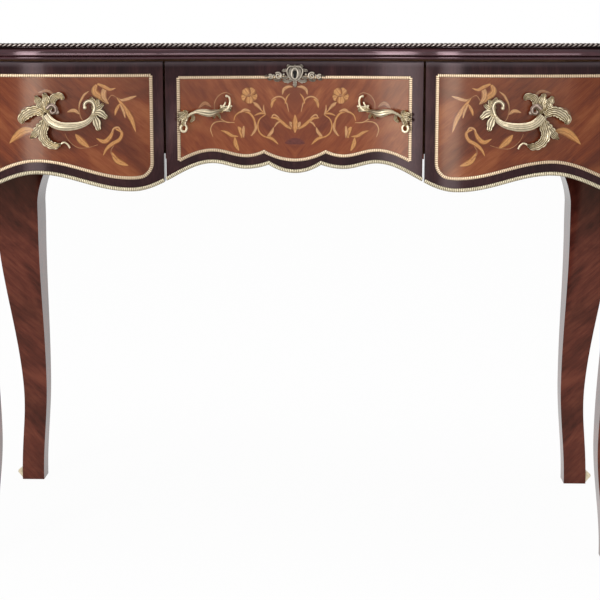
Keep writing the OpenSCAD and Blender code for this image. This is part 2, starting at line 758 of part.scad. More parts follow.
// The stem sags by drop between its feet and stands out in the middle
module handle(mid, z0, span, out, drop, w, leaves, places) {
  s = span / 2;
  stem = [for (i = [0 : 8]) let (t = i / 8, a = sin(180 * t))
    [mix(-s, s, t), -drop * a, mix(7, out - w / 2, pow(a, 0.6)), mix(0.6, 1, a) * w, mix(0.6, 0.9, a) * w]];
  color("#b8935a") difference() {
    union() {
      limb(stem, mid, z0, 8);
      for (l = leaves) leaf(l, mid, z0);
      for (p = places) on_face(p.x, p.z) translate([0, 0, 0.12]) cylinder(h = 9.5, d = boss_dia, $fn = 32);
    }
    for (p = places) along_y(p.x, p.z) translate([0, 0, -3])
      cylinder(h = 9, d = bolt_dia + 2 * hole_play, $fn = 32);
  }
}

// Leaves that spring from a foot: root, bend, tip and width, seen from the front
big_outer_leaves = [
  [[1, 4], [-5, 26], [-19, 24], 10], [[1, 2], [-10, 8], [-19, 4], 7], [[1, 6], [4, 18], [1, 31], 9],
  [[3, 6], [16, 12], [13, 27], 10], [[3, 2], [24, 14], [36, -8], 13], [[3, -2], [22, -12], [23, -34], 12],
  [[3, -4], [9, -18], [11, -30], 9], [[1, -2], [9, -46], [-25, -45], 10]
];
big_inner_leaves = [
  [[-1, 2], [-12, 14], [-2, 22], 9], [[-1, 2], [4, 20], [13, 13], 7],
  [[-1, 0], [-12, 7], [-19, -3], 10], [[-1, -2], [-12, -8], [-6, -22], 9]
];
small_outer_leaves = [
  [[-1, -2], [6, 6], [12, -8], 10], [[0, -2], [14, -24], [0, -27], 8], [[-1, -1], [-8, -5], [-10, -12], 6]
];
small_inner_leaves = [
  [[0, 2], [-19, 10], [-6, 24], 8], [[0, 1], [-6, 9], [-12, 1], 7], [[0, 0], [2, -9], [8, -8], 6]
];
function placed(leaves, x) = [for (l = leaves) [l[0] + [x, 0], l[1] + [x, 0], l[2] + [x, 0], l[3]]];

module big_handle() {
  s = big_span / 2;
  handle(big_x, front_top - big_drop, big_span, big_out, 14, 9,
    concat(placed(big_inner_leaves, -s), placed(big_outer_leaves, s)), big_places);
}

module small_handle() {
  s = small_span / 2;
  handle(small_x, front_top - small_drop, small_span, small_out, 2, 8,
    concat(placed(small_inner_leaves, -s), placed(small_outer_leaves, s)), small_places);
}

// Bolts from inside the drawer
module handle_bolts(places) {
  color("#9a8660") for (p = places) along_y(p.x, p.z) translate([0, 0, -bolt_grip]) {
    cylinder(h = bolt_grip + 5, d = bolt_dia, $fn = 32);
    translate([0, 0, -2.5]) cylinder(h = 2.5, d = head_dia, $fn = 32);
  }
}

// Lock

module escutcheon() {
  points = [for (i = [0 : 59]) let (a = 6 * i, k = 1 + 0.13 * cos(8 * a) - 0.24 * pow(abs(sin(2 * a)), 2)) [
    plate_w / 2 / 1.13 * k * cos(a), plate_h / 2 / 1.13 * k * sin(a)
  ]];
  xs = stations([-plate_w / 2 - 1, 0, plate_w / 2 + 1]);
  lift = string_h + 2 * seat;
  front = [for (x = xs) [x, front_y(x, lift + plate_t)]];
  back = [for (i = [len(xs) - 1 : -1 : 0]) [xs[i], front_y(xs[i], lift)]];
  mid = front_top - key_drop - 4;
  color("#b8935a") difference() {
    intersection() {
      translate([0, 0, mid - plate_h]) linear_extrude(2 * plate_h) polygon(concat(front, back));
      translate([0, front_y(0) - 20, mid]) rotate([-90, 0, 0]) linear_extrude(40) polygon(points);
    }
    translate([0, front_y(0) - 15, 0]) keyhole(30);
  }
}

lock_screw_x = [-lock_w / 2 + 6, lock_w / 2 - 6];
lock_screw_z = lock_top - lock_h + 7;

module lock_case() {
  color("#b08d4f") difference() {
    translate([-lock_w / 2, lock_front, lock_top - lock_h]) cube([lock_w, lock_t, lock_h]);
    translate([-lock_bolt_w / 2 - lock_play, lock_y - lock_bolt_t / 2 - lock_play, lock_top - lock_bolt_h - lock_play])
      cube([lock_bolt_w + 2 * lock_play, lock_bolt_t + 2 * lock_play, lock_bolt_h + 1]);
    translate([0, lock_front - 1, 0]) keyhole(4);
    for (x = lock_screw_x) translate([x, lock_front - 1, lock_screw_z]) rotate([-90, 0, 0])
      cylinder(h = lock_t + 2, d = 2.5 + 2 * hole_play, $fn = 24);
  }
}

module lock_bolt() {
  color("#c9a35c") translate([-lock_bolt_w / 2, lock_y - lock_bolt_t / 2, lock_top - lock_bolt_h])
    cube([lock_bolt_w, lock_bolt_t, lock_bolt_h]);
}

module lock_screws() {
  color("#9a8660") for (x = lock_screw_x) translate([x, lock_front + lock_t, lock_screw_z]) rotate([90, 0, 0]) {
    cylinder(h = lock_t + 7, d = 2.5, $fn = 24);
    translate([0, 0, -1.5]) cylinder(h = 1.5, d = 5, $fn = 24);
  }
}

top_board();
writing_leather();
top_moulding();
rope_band();
front_top_rail();
front_lower_rail();
divider(-gap_x);  // left_divider
divider(gap_x);  // right_divider
mirror([1, 0, 0]) end_panel();  // left_end_panel
end_panel();  // right_end_panel
back_panel();
drawer_runners();
drawer_kickers();
top_screws();
mirror([1, 0, 0]) leg(-1);  // front_left_leg
leg(-1);  // front_right_leg
mirror([1, 0, 0]) leg(1);  // rear_left_leg
leg(1);  // rear_right_leg
mirror([1, 0, 0]) sabot(-1);  // front_left_sabot
sabot(-1);  // front_right_sabot
mirror([1, 0, 0]) sabot(1);  // rear_left_sabot
sabot(1);  // rear_right_sabot
mirror([1, 0, 0]) knee_mount(-1);  // front_left_knee_mount
knee_mount(-1);  // front_right_knee_mount
mirror([1, 0, 0]) knee_mount(1);  // rear_left_knee_mount
knee_mount(1);  // rear_right_knee_mount
mirror([1, 0, 0]) side_drawer_front();  // left_drawer_front
centre_drawer_front();
side_drawer_front();  // right_drawer_front
box_sides(-outer_side, -inner_side);  // left_drawer_sides
box_sides(-centre_side, centre_side);  // centre_drawer_sides
box_sides(inner_side, outer_side);  // right_drawer_sides
box_back(-outer_side, -inner_side);  // left_drawer_back
box_back(-centre_side, centre_side);  // centre_drawer_back
box_back(inner_side, outer_side);  // right_drawer_back
box_bottom(-outer_side, -inner_side);  // left_drawer_bottom
box_bottom(-centre_side, centre_side);  // centre_drawer_bottom
box_bottom(inner_side, outer_side);  // right_drawer_bottom
mirror([1, 0, 0]) side_stringing();  // left_stringing
centre_stringing();
side_stringing();  // right_stringing
mirror([1, 0, 0]) edge_band(side_stations);  // left_edge_band
edge_band(centre_stations);  // centre_edge_band
edge_band(side_stations);  // right_edge_band
both_sides() end_edge_band();  // end_edge_bands
back_edge_band();
mirror([1, 0, 0]) big_handle();  // left_handle
big_handle();  // right_handle
mirror([1, 0, 0]) small_handle();  // centre_left_handle
small_handle();  // centre_right_handle
mirror([1, 0, 0]) handle_bolts(big_places);  // left_handle_bolts
both_sides() handle_bolts(small_places);  // centre_handle_bolts
handle_bolts(big_places);  // right_handle_bolts
escutcheon();
lock_case();
lock_bolt();
lock_screws();
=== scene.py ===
from math import asin, atan2, cos, degrees, exp, pi, radians, sin, sqrt

import bpy
import numpy as np
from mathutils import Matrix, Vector


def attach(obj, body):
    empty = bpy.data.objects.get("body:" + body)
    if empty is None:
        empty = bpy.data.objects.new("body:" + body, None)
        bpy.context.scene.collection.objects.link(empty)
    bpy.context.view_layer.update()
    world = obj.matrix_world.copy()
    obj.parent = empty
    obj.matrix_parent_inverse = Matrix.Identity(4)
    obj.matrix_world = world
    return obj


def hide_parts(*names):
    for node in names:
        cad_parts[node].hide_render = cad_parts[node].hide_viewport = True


# A kidney-shaped writing desk, in millimetres until a mesh is made: X to the right, Y to the back, Z up
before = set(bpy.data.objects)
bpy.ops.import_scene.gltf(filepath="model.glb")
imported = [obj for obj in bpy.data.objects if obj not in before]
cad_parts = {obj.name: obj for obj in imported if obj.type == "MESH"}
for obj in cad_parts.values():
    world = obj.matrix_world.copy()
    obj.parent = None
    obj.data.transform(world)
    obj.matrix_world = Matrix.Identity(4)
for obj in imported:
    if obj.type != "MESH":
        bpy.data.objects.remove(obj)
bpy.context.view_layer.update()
MM = 0.001

# Sizes, as in the CAD model
HALF_W = 553.0
FRONT = -318.0
BACK = 318.0
TOP = 780.0
CASE_TOP = 758.0
FRONT_TOP = 755.0
LOBE_X = 320.0
RECESS = 75.0
LOBE_R = 270.0
CORNER_R = 90.0
SIDE_R = 1500.0
SIDE_Y = -10.0
BACK_R = 1600.0
OVERHANG = 22.0
BOARD_EDGE = 8.0
ROPE_R = 2.5
PANEL_T = 18.0
FRONT_T = 20.0
LEG_X = 466.0
FRONT_LEG_Y = 190.0
REAR_LEG_Y = 179.0
CENTRE_END = 183.5
SIDE_START = 186.5
FRONT_END = 464.0
BORDER_TOP = 23.0
BORDER_TOP_SIDE = 19.5
BORDER_LOW = 19.0
BORDER_END = 18.0
BORDER_SIDE = 16.0
BORDER_LEG = 20.0
FIELD_R = 16.0
STRING_W = 4.7
BAND_H = 5.5
BAND_RISE = 1.9
STRING_RISE = 0.8
SEAT = 0.08


def heading(v):
    return atan2(v[1], v[0])


def meet(p, rp, q, rq, side):
    """One of the two points at the distances rp from p and rq from q."""
    way = q - p
    gap = np.linalg.norm(way)
    a = (gap * gap + rp * rp - rq * rq) / (2 * gap)
    h = sqrt(rp * rp - a * a)
    u = way / gap
    return p + a * u + side * h * np.array([-u[1], u[0]])


REACH_SUM = (LOBE_X**2 + RECESS**2) / (2 * RECESS)
FRONT_R = REACH_SUM - LOBE_R
FRONT_C = np.array([0.0, FRONT + RECESS - FRONT_R])
LOBE_C = np.array([LOBE_X, FRONT + LOBE_R])
SIDE_C = np.array([HALF_W - SIDE_R, SIDE_Y])
BACK_C = np.array([0.0, BACK - BACK_R])
FRONT_CORNER = meet(SIDE_C, SIDE_R - CORNER_R, LOBE_C, LOBE_R - CORNER_R, -1)
REAR_CORNER = meet(SIDE_C, SIDE_R - CORNER_R, BACK_C, BACK_R - CORNER_R, 1)
TURNS = [
    asin(LOBE_X / REACH_SUM),
    heading(FRONT_CORNER - LOBE_C),
    heading(FRONT_CORNER - SIDE_C),
    heading(REAR_CORNER - SIDE_C),
    heading(REAR_CORNER - BACK_C),
]


def arcs(d):
    """Centre, radius and angles of each arc of the right half of the outline, d outside the case."""
    quarter = pi / 2
    return [
        (FRONT_C, FRONT_R - d, quarter, quarter - TURNS[0]),
        (LOBE_C, LOBE_R + d, -quarter - TURNS[0], TURNS[1]),
        (FRONT_CORNER, CORNER_R + d, TURNS[1], TURNS[2]),
        (SIDE_C, SIDE_R + d, TURNS[2], TURNS[3]),
        (REAR_CORNER, CORNER_R + d, TURNS[3], TURNS[4]),
        (BACK_C, BACK_R + d, TURNS[4], quarter),
    ]


def outline(d, pitch=6.0):
    """The closed outline, d outside the case, with as many points at every d."""
    right = []
    for (c, r, a, b), (_, r0, _, _) in zip(arcs(d), arcs(0.0)):
        n = max(4, round(abs(b - a) * r0 / pitch))
        for i in range(n):
            t = a + (b - a) * i / n
            right.append((c[0] + r * cos(t), c[1] + r * sin(t)))
    left = [(-x, y) for x, y in right[:0:-1]]
    return np.array(right + [(0.0, BACK + d)] + left)


def front_y(x, d=0.0):
    x = np.abs(np.asarray(x, float))
    hollow = FRONT_C[1] + np.sqrt(np.maximum((FRONT_R - d) ** 2 - x**2, 1))
    lobe = LOBE_C[1] - np.sqrt(np.maximum((LOBE_R + d) ** 2 - (x - LOBE_X) ** 2, 1))
    corner = FRONT_CORNER[1] - np.sqrt(np.maximum((CORNER_R + d) ** 2 - (x - FRONT_CORNER[0]) ** 2, 1))
    y = np.where(x < (FRONT_R - d) * sin(TURNS[0]), hollow, lobe)
    return np.where(x > LOBE_C[0] + (LOBE_R + d) * cos(TURNS[1]), corner, y)


def back_y(x, d=0.0):
    return BACK_C[1] + np.sqrt((BACK_R + d) ** 2 - np.asarray(x, float) ** 2)


def side_x(y, d=0.0):
    return SIDE_C[0] + np.sqrt((SIDE_R + d) ** 2 - (np.asarray(y, float) - SIDE_Y) ** 2)


def ease(t):
    return (1 - cos(pi * min(max(t, 0.0), 1.0))) / 2


def mix(a, b, t):
    return a + (b - a) * t


def fan(first, last, n):
    """Angles from first to last, given in degrees."""
    return np.radians(np.linspace(first, last, n))


# Heights of the serpentine edge at its key places: the cusp is pointed, the rest runs smoothly
CUSP_X = 38.0
KNOTS = [(70, 600), (119.5, 609), (228, 572), (362, 597), (500, 558)]


def apron_z(x, cusp=CUSP_X):
    """Height of the serpentine lower edge."""
    x = abs(float(x))
    if x < cusp:
        return mix(593.5, 606.0, (x / cusp) ** 2)
    if x < 70:
        return mix(600.0, 606.0, ((70 - x) / (70 - cusp)) ** 2)
    for (x0, z0), (x1, z1) in zip(KNOTS, KNOTS[1:]):
        if x < x1:
            return mix(z0, z1, ease((x - x0) / (x1 - x0)))
    return KNOTS[-1][1]


def end_apron_z(t):
    """Height of the ends' lower edge, t from the front legs to the rear ones."""
    u = 2 * abs(2 * t - 1)
    return FRONT_TOP - mix(183.0, 158.0, ease(2 - u if u > 1 else u))


# Meshes


def placed(name, data):
    ob = bpy.data.objects.new(name, data)
    bpy.context.scene.collection.objects.link(ob)
    return ob


def piece(name, body, verts, faces, mats, replaces, slot, uvs=None, tones=None, picks=None,
          sharp=35, bevel=0):
    """A mesh from points in millimetres, with optional UVs in millimetres and a tone per point."""
    me = bpy.data.meshes.new(name)
    me.from_pydata([tuple(float(c) * MM for c in v) for v in verts], [], faces)
    if uvs is not None:
        layer = me.uv_layers.new(name="grain")
        flat = np.empty(len(me.loops), np.int32)
        me.loops.foreach_get("vertex_index", flat)
        layer.data.foreach_set("uv", (np.asarray(uvs, float)[flat] * MM).ravel())
    if tones is not None:
        me.attributes.new("tone", "FLOAT", "POINT").data.foreach_set("value", np.asarray(tones, np.float32))
    mats = mats if isinstance(mats, list) else [mats]
    for m in mats:
        me.materials.append(m)
    if picks is not None:
        me.polygons.foreach_set("material_index", np.asarray(picks, np.int32))
    me.validate()
    me.shade_smooth()
    me.set_sharp_from_angle(angle=radians(sharp))
    ob = placed(name, me)
    if bevel:
        m = ob.modifiers.new("edge", "BEVEL")
        m.width = bevel * MM
        m.segments = 2
        m.limit_method = "ANGLE"
        m.angle_limit = radians(40)
    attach(ob, body)
    if replaces:
        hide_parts(*replaces)


def turned_out(verts, faces):
    """Faces in an order whose outer side is outwards."""
    v = np.asarray(verts, float)
    tri = np.array([(f[0], f[i], f[i + 1]) for f in faces for i in range(1, len(f) - 1)])
    bulk = np.einsum("ij,ij->i", np.cross(v[tri[:, 0]], v[tri[:, 1]]), v[tri[:, 2]]).sum()
    return faces if bulk > 0 else [f[::-1] for f in faces]


def lofted(rings, joined=False):
    """Points and faces of a closed solid through rings of points."""
    n = len(rings)
    m = len(rings[0])
    verts = [tuple(p) for r in rings for p in r]
    faces = []
    for i in range(n if joined else n - 1):
        k = (i + 1) % n
        for j in range(m):
            q = (j + 1) % m
            faces.append((i * m + j, i * m + q, k * m + q, k * m + j))
    if not joined:
        faces.append(tuple(range(m - 1, -1, -1)))
        faces.append(tuple((n - 1) * m + j for j in range(m)))
    return verts, turned_out(verts, faces)


def mirrored(verts, faces, s):
    """Points and faces on side s, -1 for the left one."""
    return [(s * v[0], v[1], v[2]) for v in verts], faces if s > 0 else [f[::-1] for f in faces]


def run_of(points):
    """The length along a path at each of its points."""
    p = np.asarray(points, float)
    return np.concatenate([[0], np.cumsum(np.linalg.norm(np.diff(p, axis=0), axis=1))])


def even(path, n):
    """Points at n even steps along a path."""
    path = np.asarray(path, float)
    run = run_of(path)
    at = np.linspace(0, run[-1], n + 1)
    return np.stack([np.interp(at, run, path[:, k]) for k in range(path.shape[1])], axis=1)


def spline(points, n):
    """A smooth curve through the points, in n even steps."""
    p = np.asarray(points, float)
    if len(p) == 2:
        return np.array([p[0] + (p[1] - p[0]) * i / n for i in range(n + 1)])
    ext = np.vstack([2 * p[0] - p[1], p, 2 * p[-1] - p[-2]])
    out = []
    fine = 16
    for a, b, c, d in zip(ext, ext[1:], ext[2:], ext[3:]):
        square = 2 * a - 5 * b + 4 * c - d
        cube = 3 * b - a - 3 * c + d
        out += [0.5 * (2 * b + (c - a) * t + square * t * t + cube * t**3) for t in np.arange(fine) / fine]
    return even(out + [p[-1]], n)


def normals_2d(path, closed=False):
    if closed:
        way = np.roll(path, -1, axis=0) - np.roll(path, 1, axis=0)
    else:
        way = np.gradient(path, axis=0)
    way = way / np.maximum(np.linalg.norm(way, axis=1), 1e-9)[:, None]
    return np.stack([-way[:, 1], way[:, 0]], axis=1)


# Materials


def put(nt, socket, v):
    """Set or link an input; a colour may come without its alpha."""
    if isinstance(v, bpy.types.NodeSocket):
        nt.links.new(v, socket)
    else:
        socket.default_value = (*v, 1.0) if socket.type == "RGBA" and len(v) == 3 else v


def fill(nt, node, **inputs):
    """Set or link inputs by name, with _ for a space."""
    for name, v in inputs.items():
        put(nt, node.inputs[name.replace("_", " ")], v)
    return node


def shader(nt, kind, **inputs):
    return fill(nt, nt.nodes.new("ShaderNode" + kind), **inputs)


def ramp(nt, value, stops):
    node = shader(nt, "ValToRGB", Fac=value)
    while len(node.color_ramp.elements) < len(stops):
        node.color_ramp.elements.new(0.5)
    for e, (at, colour) in zip(node.color_ramp.elements, stops):
        e.position = at
        e.color = (*colour, 1.0)
    return node.outputs["Color"]


def noise(nt, vector, scale, detail=3.0, rough=0.55, distortion=0.0):
    return shader(nt, "TexNoise", Vector=vector, Scale=scale, Detail=detail, Roughness=rough,
                  Distortion=distortion).outputs["Fac"]


def calc(nt, kind, a, b, clamp=False):
    """The output of a math node."""
    node = nt.nodes.new("ShaderNodeMath")
    node.operation = kind
    node.use_clamp = clamp
    put(nt, node.inputs[0], a)
    put(nt, node.inputs[1], b)
    return node.outputs[0]


def mapped(nt, vector, scale=(1, 1, 1), turn=0.0, move=(0, 0, 0)):
    """Coordinates turned about Z, in degrees, moved and stretched."""
    turned = (0, 0, radians(turn))
    return shader(nt, "Mapping", Vector=vector, Scale=scale, Rotation=turned, Location=move).outputs["Vector"]


def mix_colour(nt, fac, a, b, blend="MIX"):
    node = nt.nodes.new("ShaderNodeMix")
    node.data_type = "RGBA"
    node.blend_type = blend
    for name, kind, v in (("Factor", "VALUE", fac), ("A", "RGBA", a), ("B", "RGBA", b)):
        put(nt, next(i for i in node.inputs if i.name == name and i.type == kind), v)
    return next(o for o in node.outputs if o.type == "RGBA")


def bump(nt, bsdf, height, strength, distance):
    node = shader(nt, "Bump", Height=height, Strength=strength, Distance=distance)
    fill(nt, bsdf, Normal=node.outputs["Normal"])


def tone_of(nt):
    node = nt.nodes.new("ShaderNodeAttribute")
    node.attribute_name = "tone"
    return node.outputs["Fac"]


def material(name):
    mat = bpy.data.materials.new(name)
    mat.use_nodes = True
    nt = mat.node_tree
    return mat, nt, nt.nodes["Principled BSDF"]


def wood(name, dark, mid, light, turn=0.0, uv=True, figure=1.0, rough=0.2, gloss=0.28, move=0.0, cloud=0.5,
         painted_shading_band=None, shine=(1.0, 0.80, 0.62)):
    """Wood with its grain along the first coordinate after the turn, in metres, and slow dark clouds; a
    painted shading band, if given, blends the colour towards its own above a height.
    """
    mat, nt, bsdf = material(name)
    coord = shader(nt, "TexCoord").outputs["UV" if uv else "Object"]
    turned = mapped(nt, coord, turn=turn, move=(move, move * 0.7, move))

    def grain(along, across, *how, move=(0, 0, 0)):
        return noise(nt, mapped(nt, turned, (along, across, across), move=move), 1.0, *how)

    broad = grain(9, 24 * figure, 4.0, 0.6, 0.7)
    streak = grain(16, 170 * figure, 4.0, 0.6, 0.3)
    fibre = grain(60, 1100, 2.0, 0.5)
    value = calc(nt, "MULTIPLY", broad, 0.56)
    for part in (streak, fibre):
        value = calc(nt, "ADD", value, calc(nt, "MULTIPLY", part, 0.22))
    colour = ramp(nt, value, [(0.37, dark), (0.50, mid), (0.63, light)])
    slow = grain(7, 13, 3.0, 0.5, 0.8, move=(3.1, 1.7, 0.4))
    shade = calc(nt, "MULTIPLY", calc(nt, "SUBTRACT", slow, 0.47, True), 4.0 * cloud, True)
    colour = mix_colour(nt, shade, colour, tuple(0.8 * c for c in dark))
    # Painted light: over the band's heights the colour is blended towards the band's colour. This is a
    # painted highlight where the band is pale and painted shade where it is dark.
    if painted_shading_band:
        height = shader(nt, "SeparateXYZ", Vector=coord).outputs["Y"]
        over = calc(nt, "SUBTRACT", height, painted_shading_band[0])
        band_share = calc(nt, "POWER", calc(nt, "DIVIDE", over, painted_shading_band[1] - painted_shading_band[0], True), 1.5)
        band_share = calc(nt, "MULTIPLY", band_share, calc(nt, "ADD", slow, 0.4), True)
        colour = mix_colour(nt, band_share, colour, painted_shading_band[2])
    fill(nt, bsdf, Base_Color=colour, Roughness=rough, Specular_IOR_Level=gloss, Specular_Tint=shine)
    bump(nt, bsdf, streak, 0.05, 0.0002)
    return mat


def metal(name, colour, dirt_and_shade, rough, tone=None, patina=0.35):
    """Metal with patina, darker in its hollows where the mesh carries a tone between the two given; this
    darkening is painted shade together with real dirt.
    """
    mat, nt, bsdf = material(name)
    coord = shader(nt, "TexCoord").outputs["Object"]
    cloud = noise(nt, coord, 220.0, 4.0, 0.6)
    speck = noise(nt, coord, 1320.0, 3.0, 0.6)
    base = ramp(nt, cloud, [(0.3, tuple(mix(c, d, patina) for c, d in zip(colour, dirt_and_shade))), (0.62, colour)])
    # Painted shade with real dirt: a low tone in the hollows blends the colour to the dirt colour.
    if tone:
        hollow = ramp(nt, tone_of(nt), [(tone[0], (0, 0, 0)), (tone[1], (1, 1, 1))])
        base = mix_colour(nt, hollow, dirt_and_shade, base)
    spread = calc(nt, "ADD", calc(nt, "MULTIPLY", speck, 0.25), rough - 0.12)
    fill(nt, bsdf, Base_Color=base, Metallic=1.0, Roughness=spread)
    bump(nt, bsdf, speck, 0.15, 0.0002)
    return mat


EBONISED = ((0.012, 0.004, 0.006), (0.030, 0.009, 0.011), (0.062, 0.018, 0.022))
WALNUT = ((0.09, 0.04, 0.02), (0.18, 0.085, 0.042), (0.27, 0.14, 0.07))
OAK = ((0.26, 0.145, 0.07), (0.38, 0.23, 0.12), (0.50, 0.33, 0.18))
FIELD_CENTRE = wood("field_centre", (0.095, 0.019, 0.013), (0.20, 0.047, 0.019), (0.28, 0.088, 0.034),
                    turn=-52, cloud=0.75)
FIELD_SIDE = wood("field_side", (0.078, 0.015, 0.010), (0.168, 0.038, 0.015), (0.25, 0.076, 0.029),
                  turn=-40, move=0.31, cloud=0.85)
# The fronts' border: a pale grey band along the top of the fronts and over their rounded upper edge is a
# painted highlight, the edge catching light.
BORDER_WOOD = wood("border", (0.012, 0.005, 0.006), (0.026, 0.010, 0.011), (0.052, 0.020, 0.020), turn=90,
                   rough=0.17, gloss=0.16, shine=(1.0, 0.78, 0.80),
                   painted_shading_band=(0.746, 0.7545, (0.125, 0.098, 0.108)))
MOULDING = wood("moulding", *EBONISED, rough=0.12, gloss=0.55, shine=(1.0, 0.72, 0.78))
# Near-black matte wood for a strip of painted shadow in the groove under the rope.
GROOVE_SHADE = wood("groove", (0.006, 0.002, 0.002), (0.010, 0.004, 0.004), (0.020, 0.008, 0.007), rough=0.7,
              gloss=0.05)
# The leg veneer darkens from about 410 mm up and is darkest from 550 mm. This is painted shade under the
# desk's top.
LEG_WOOD = wood("leg_veneer", (0.045, 0.010, 0.008), (0.115, 0.026, 0.018), (0.20, 0.055, 0.033), turn=48,
                figure=0.9, rough=0.08, gloss=0.24, painted_shading_band=(0.41, 0.55, (0.016, 0.002, 0.001)))
CASE_WOOD = wood("case_veneer", (0.07, 0.018, 0.013), (0.16, 0.043, 0.027), (0.26, 0.09, 0.05), turn=-45)
TOP_WOOD = wood("top_veneer", (0.05, 0.014, 0.010), (0.12, 0.034, 0.020), (0.21, 0.07, 0.036), uv=False)
PLAIN = dict(uv=False, rough=0.6, cloud=0.15)
CARCASS = wood("carcass", *WALNUT, **PLAIN)
CARCASS_Y = wood("carcass_runners", *WALNUT, turn=90, **PLAIN)
DRAWER = wood("drawer_oak", *OAK, turn=90, **PLAIN)
DRAWER_X = wood("drawer_oak_back", *OAK, **PLAIN)
GILT = metal("gilt_bronze", (0.76, 0.655, 0.46), (0.05, 0.032, 0.016), rough=0.33, tone=(0.08, 0.7))
SILVERED = metal("worn_gilt", (0.58, 0.51, 0.42), (0.02, 0.015, 0.012), rough=0.36, tone=(0.15, 0.75))
BROWNED = metal("browned_bronze", (0.44, 0.34, 0.28), (0.05, 0.03, 0.02), rough=0.42, tone=(0.1, 0.7))
ROPE = metal("rope_brass", (0.60, 0.53, 0.48), (0.016, 0.009, 0.008), rough=0.36, tone=(0.58, 1.0))
MILLED = metal("milled_brass", (0.75, 0.58, 0.40), (0.06, 0.03, 0.014), rough=0.45, tone=(0.2, 0.75),
               patina=0.15)
BANDS = metal("milled_bands", (0.74, 0.66, 0.48), (0.07, 0.045, 0.02), rough=0.45, tone=(0.2, 0.78),
              patina=0.25)
BRASS = metal("lock_brass", (0.62, 0.45, 0.20), (0.16, 0.11, 0.05), rough=0.35)
STEEL = metal("screw_steel", (0.42, 0.41, 0.39), (0.14, 0.12, 0.10), rough=0.4)


def inlay_wood(name, shade, colour, edge):
    """Pale veneer, singed dark towards one edge and cut by a vein, with its grain along the leaf."""
    mat, nt, bsdf = material(name)
    uv = shader(nt, "TexCoord").outputs["UV"]
    grain = noise(nt, mapped(nt, uv, scale=(180, 2600, 1)), 1.0, 4.0, 0.6, 0.4)
    base = ramp(nt, grain, [(0.36, tuple(0.52 * c for c in colour)), (0.58, colour)])
    vein = tuple(0.5 * (0.6 + c) for c in shade)
    clear = (1, 1, 1)
    stops = [(0.0, edge), (0.2, shade), (0.34, clear), (0.45, clear), (0.51, vein), (0.57, clear)]
    singe = ramp(nt, tone_of(nt), stops + [(0.84, (0.95, 0.92, 0.88)), (1.0, edge)])
    colour = mix_colour(nt, 1.0, base, singe, "MULTIPLY")
    fill(nt, bsdf, Base_Color=colour, Roughness=0.2, Specular_IOR_Level=0.28)
    return mat


INLAY = inlay_wood("inlay_ochre", (0.62, 0.44, 0.34), (0.60, 0.285, 0.09), (0.22, 0.11, 0.07))
INLAY_PALE = inlay_wood("inlay_pale", (0.66, 0.48, 0.38), (0.62, 0.33, 0.14), (0.24, 0.13, 0.08))
INLAY_BROWN = inlay_wood("inlay_brown", (0.62, 0.48, 0.38), (0.42, 0.185, 0.075), (0.26, 0.15, 0.10))
INLAY_DARK = inlay_wood("inlay_dark", (0.8, 0.8, 0.8), (0.14, 0.030, 0.021), (1.0, 1.0, 1.0))

LEATHER, nt, bsdf = material("writing_leather")
coord = shader(nt, "TexCoord").outputs["Object"]
cloud = noise(nt, coord, 14.0, 4.0, 0.6)
colour = ramp(nt, cloud, [(0.35, (0.050, 0.016, 0.010)), (0.65, (0.085, 0.028, 0.017))])
fill(nt, bsdf, Base_Color=colour, Roughness=0.5)
cells = shader(nt, "TexVoronoi", Vector=coord, Scale=900.0)
bump(nt, bsdf, cells.outputs["Distance"], 0.25, 0.0003)

SIDES = ("left", "centre", "right")
for mat, names in (
    (TOP_WOOD, ["top_board"]),
    (LEATHER, ["writing_leather"]),
    (CARCASS, ["front_top_rail", "front_lower_rail"]),
    (CARCASS_Y, ["left_divider", "right_divider", "drawer_runners", "drawer_kickers"]),
    (STEEL, ["top_screws", "lock_screws"]),
    (BRASS, ["lock_case", "lock_bolt"] + [side + "_handle_bolts" for side in SIDES]),
    (DRAWER, [side + part for side in SIDES for part in ("_drawer_sides", "_drawer_bottom")]),
    (DRAWER_X, [side + "_drawer_back" for side in SIDES]),
):
    for name in names:
        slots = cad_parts[name].data.materials
        slots.clear()
        slots.append(mat)

# Top: a thumb moulding and a rope round the edge


def edge_ring(name, section, mat, nodes):
    loops = [outline(d) for d, z in section]
    rings = [[(*loop[i], z) for loop, (d, z) in zip(loops, section)] for i in range(len(loops[0]))]
    verts, faces = lofted(rings, joined=True)
    run = run_of(loops[0])
    uvs = [(run[i], 4.0 * k) for i in range(len(rings)) for k in range(len(section))]
    piece(name, "desk", verts, faces, mat, nodes, "ebonised_moulding", uvs=uvs)


def oval(inset, z, rx, rz, first, last, n):
    """An oval arc of the section; its centre is inset from the edge of the top and z over the case."""
    return [(OVERHANG - inset + rx * cos(a), CASE_TOP + z + rz * sin(a)) for a in fan(first, last, n)]


# A small bead below, a quirk and a thumb with a flat face, set back under the rope
section = [(BOARD_EDGE, CASE_TOP)] + oval(6.6, 2.2, 2.3, 2.3, -90, 70, 8)
section += [(OVERHANG - 5.6, CASE_TOP + 4.6)] + oval(4.9, 6.3, 4.5, 1.6, -70, 0, 9)
section += [(OVERHANG - 0.4, CASE_TOP + 6.5), (OVERHANG - 0.4, CASE_TOP + 8.3)]
section += oval(4.9, 8.5, 4.5, 6.9, 0, 62, 14)
section += [(OVERHANG - d, z) for d, z in ((4.4, 773.6), (4.4, 775), (5.2, 775), (5.2, 777.6), (5.7, 778))]
edge_ring("thumb_moulding", section + [(BOARD_EDGE, 778)], MOULDING, ("top_moulding",))
# A near-black strip runs from the top of the thumb to under the rope. It is painted shadow in the groove
# beneath the rope.
groove = [(4.3, 772.4), (2.35, 772.4), (2.9, 773.6), (4.2, 774.9), (5.1, 774.9)]
edge_ring("shadow_groove", [(OVERHANG - d, z) for d, z in groove], GROOVE_SHADE, ())

# Three strands laid round each other; one turn takes this length
STRANDS = 3
ROPE_LAY = 22.5

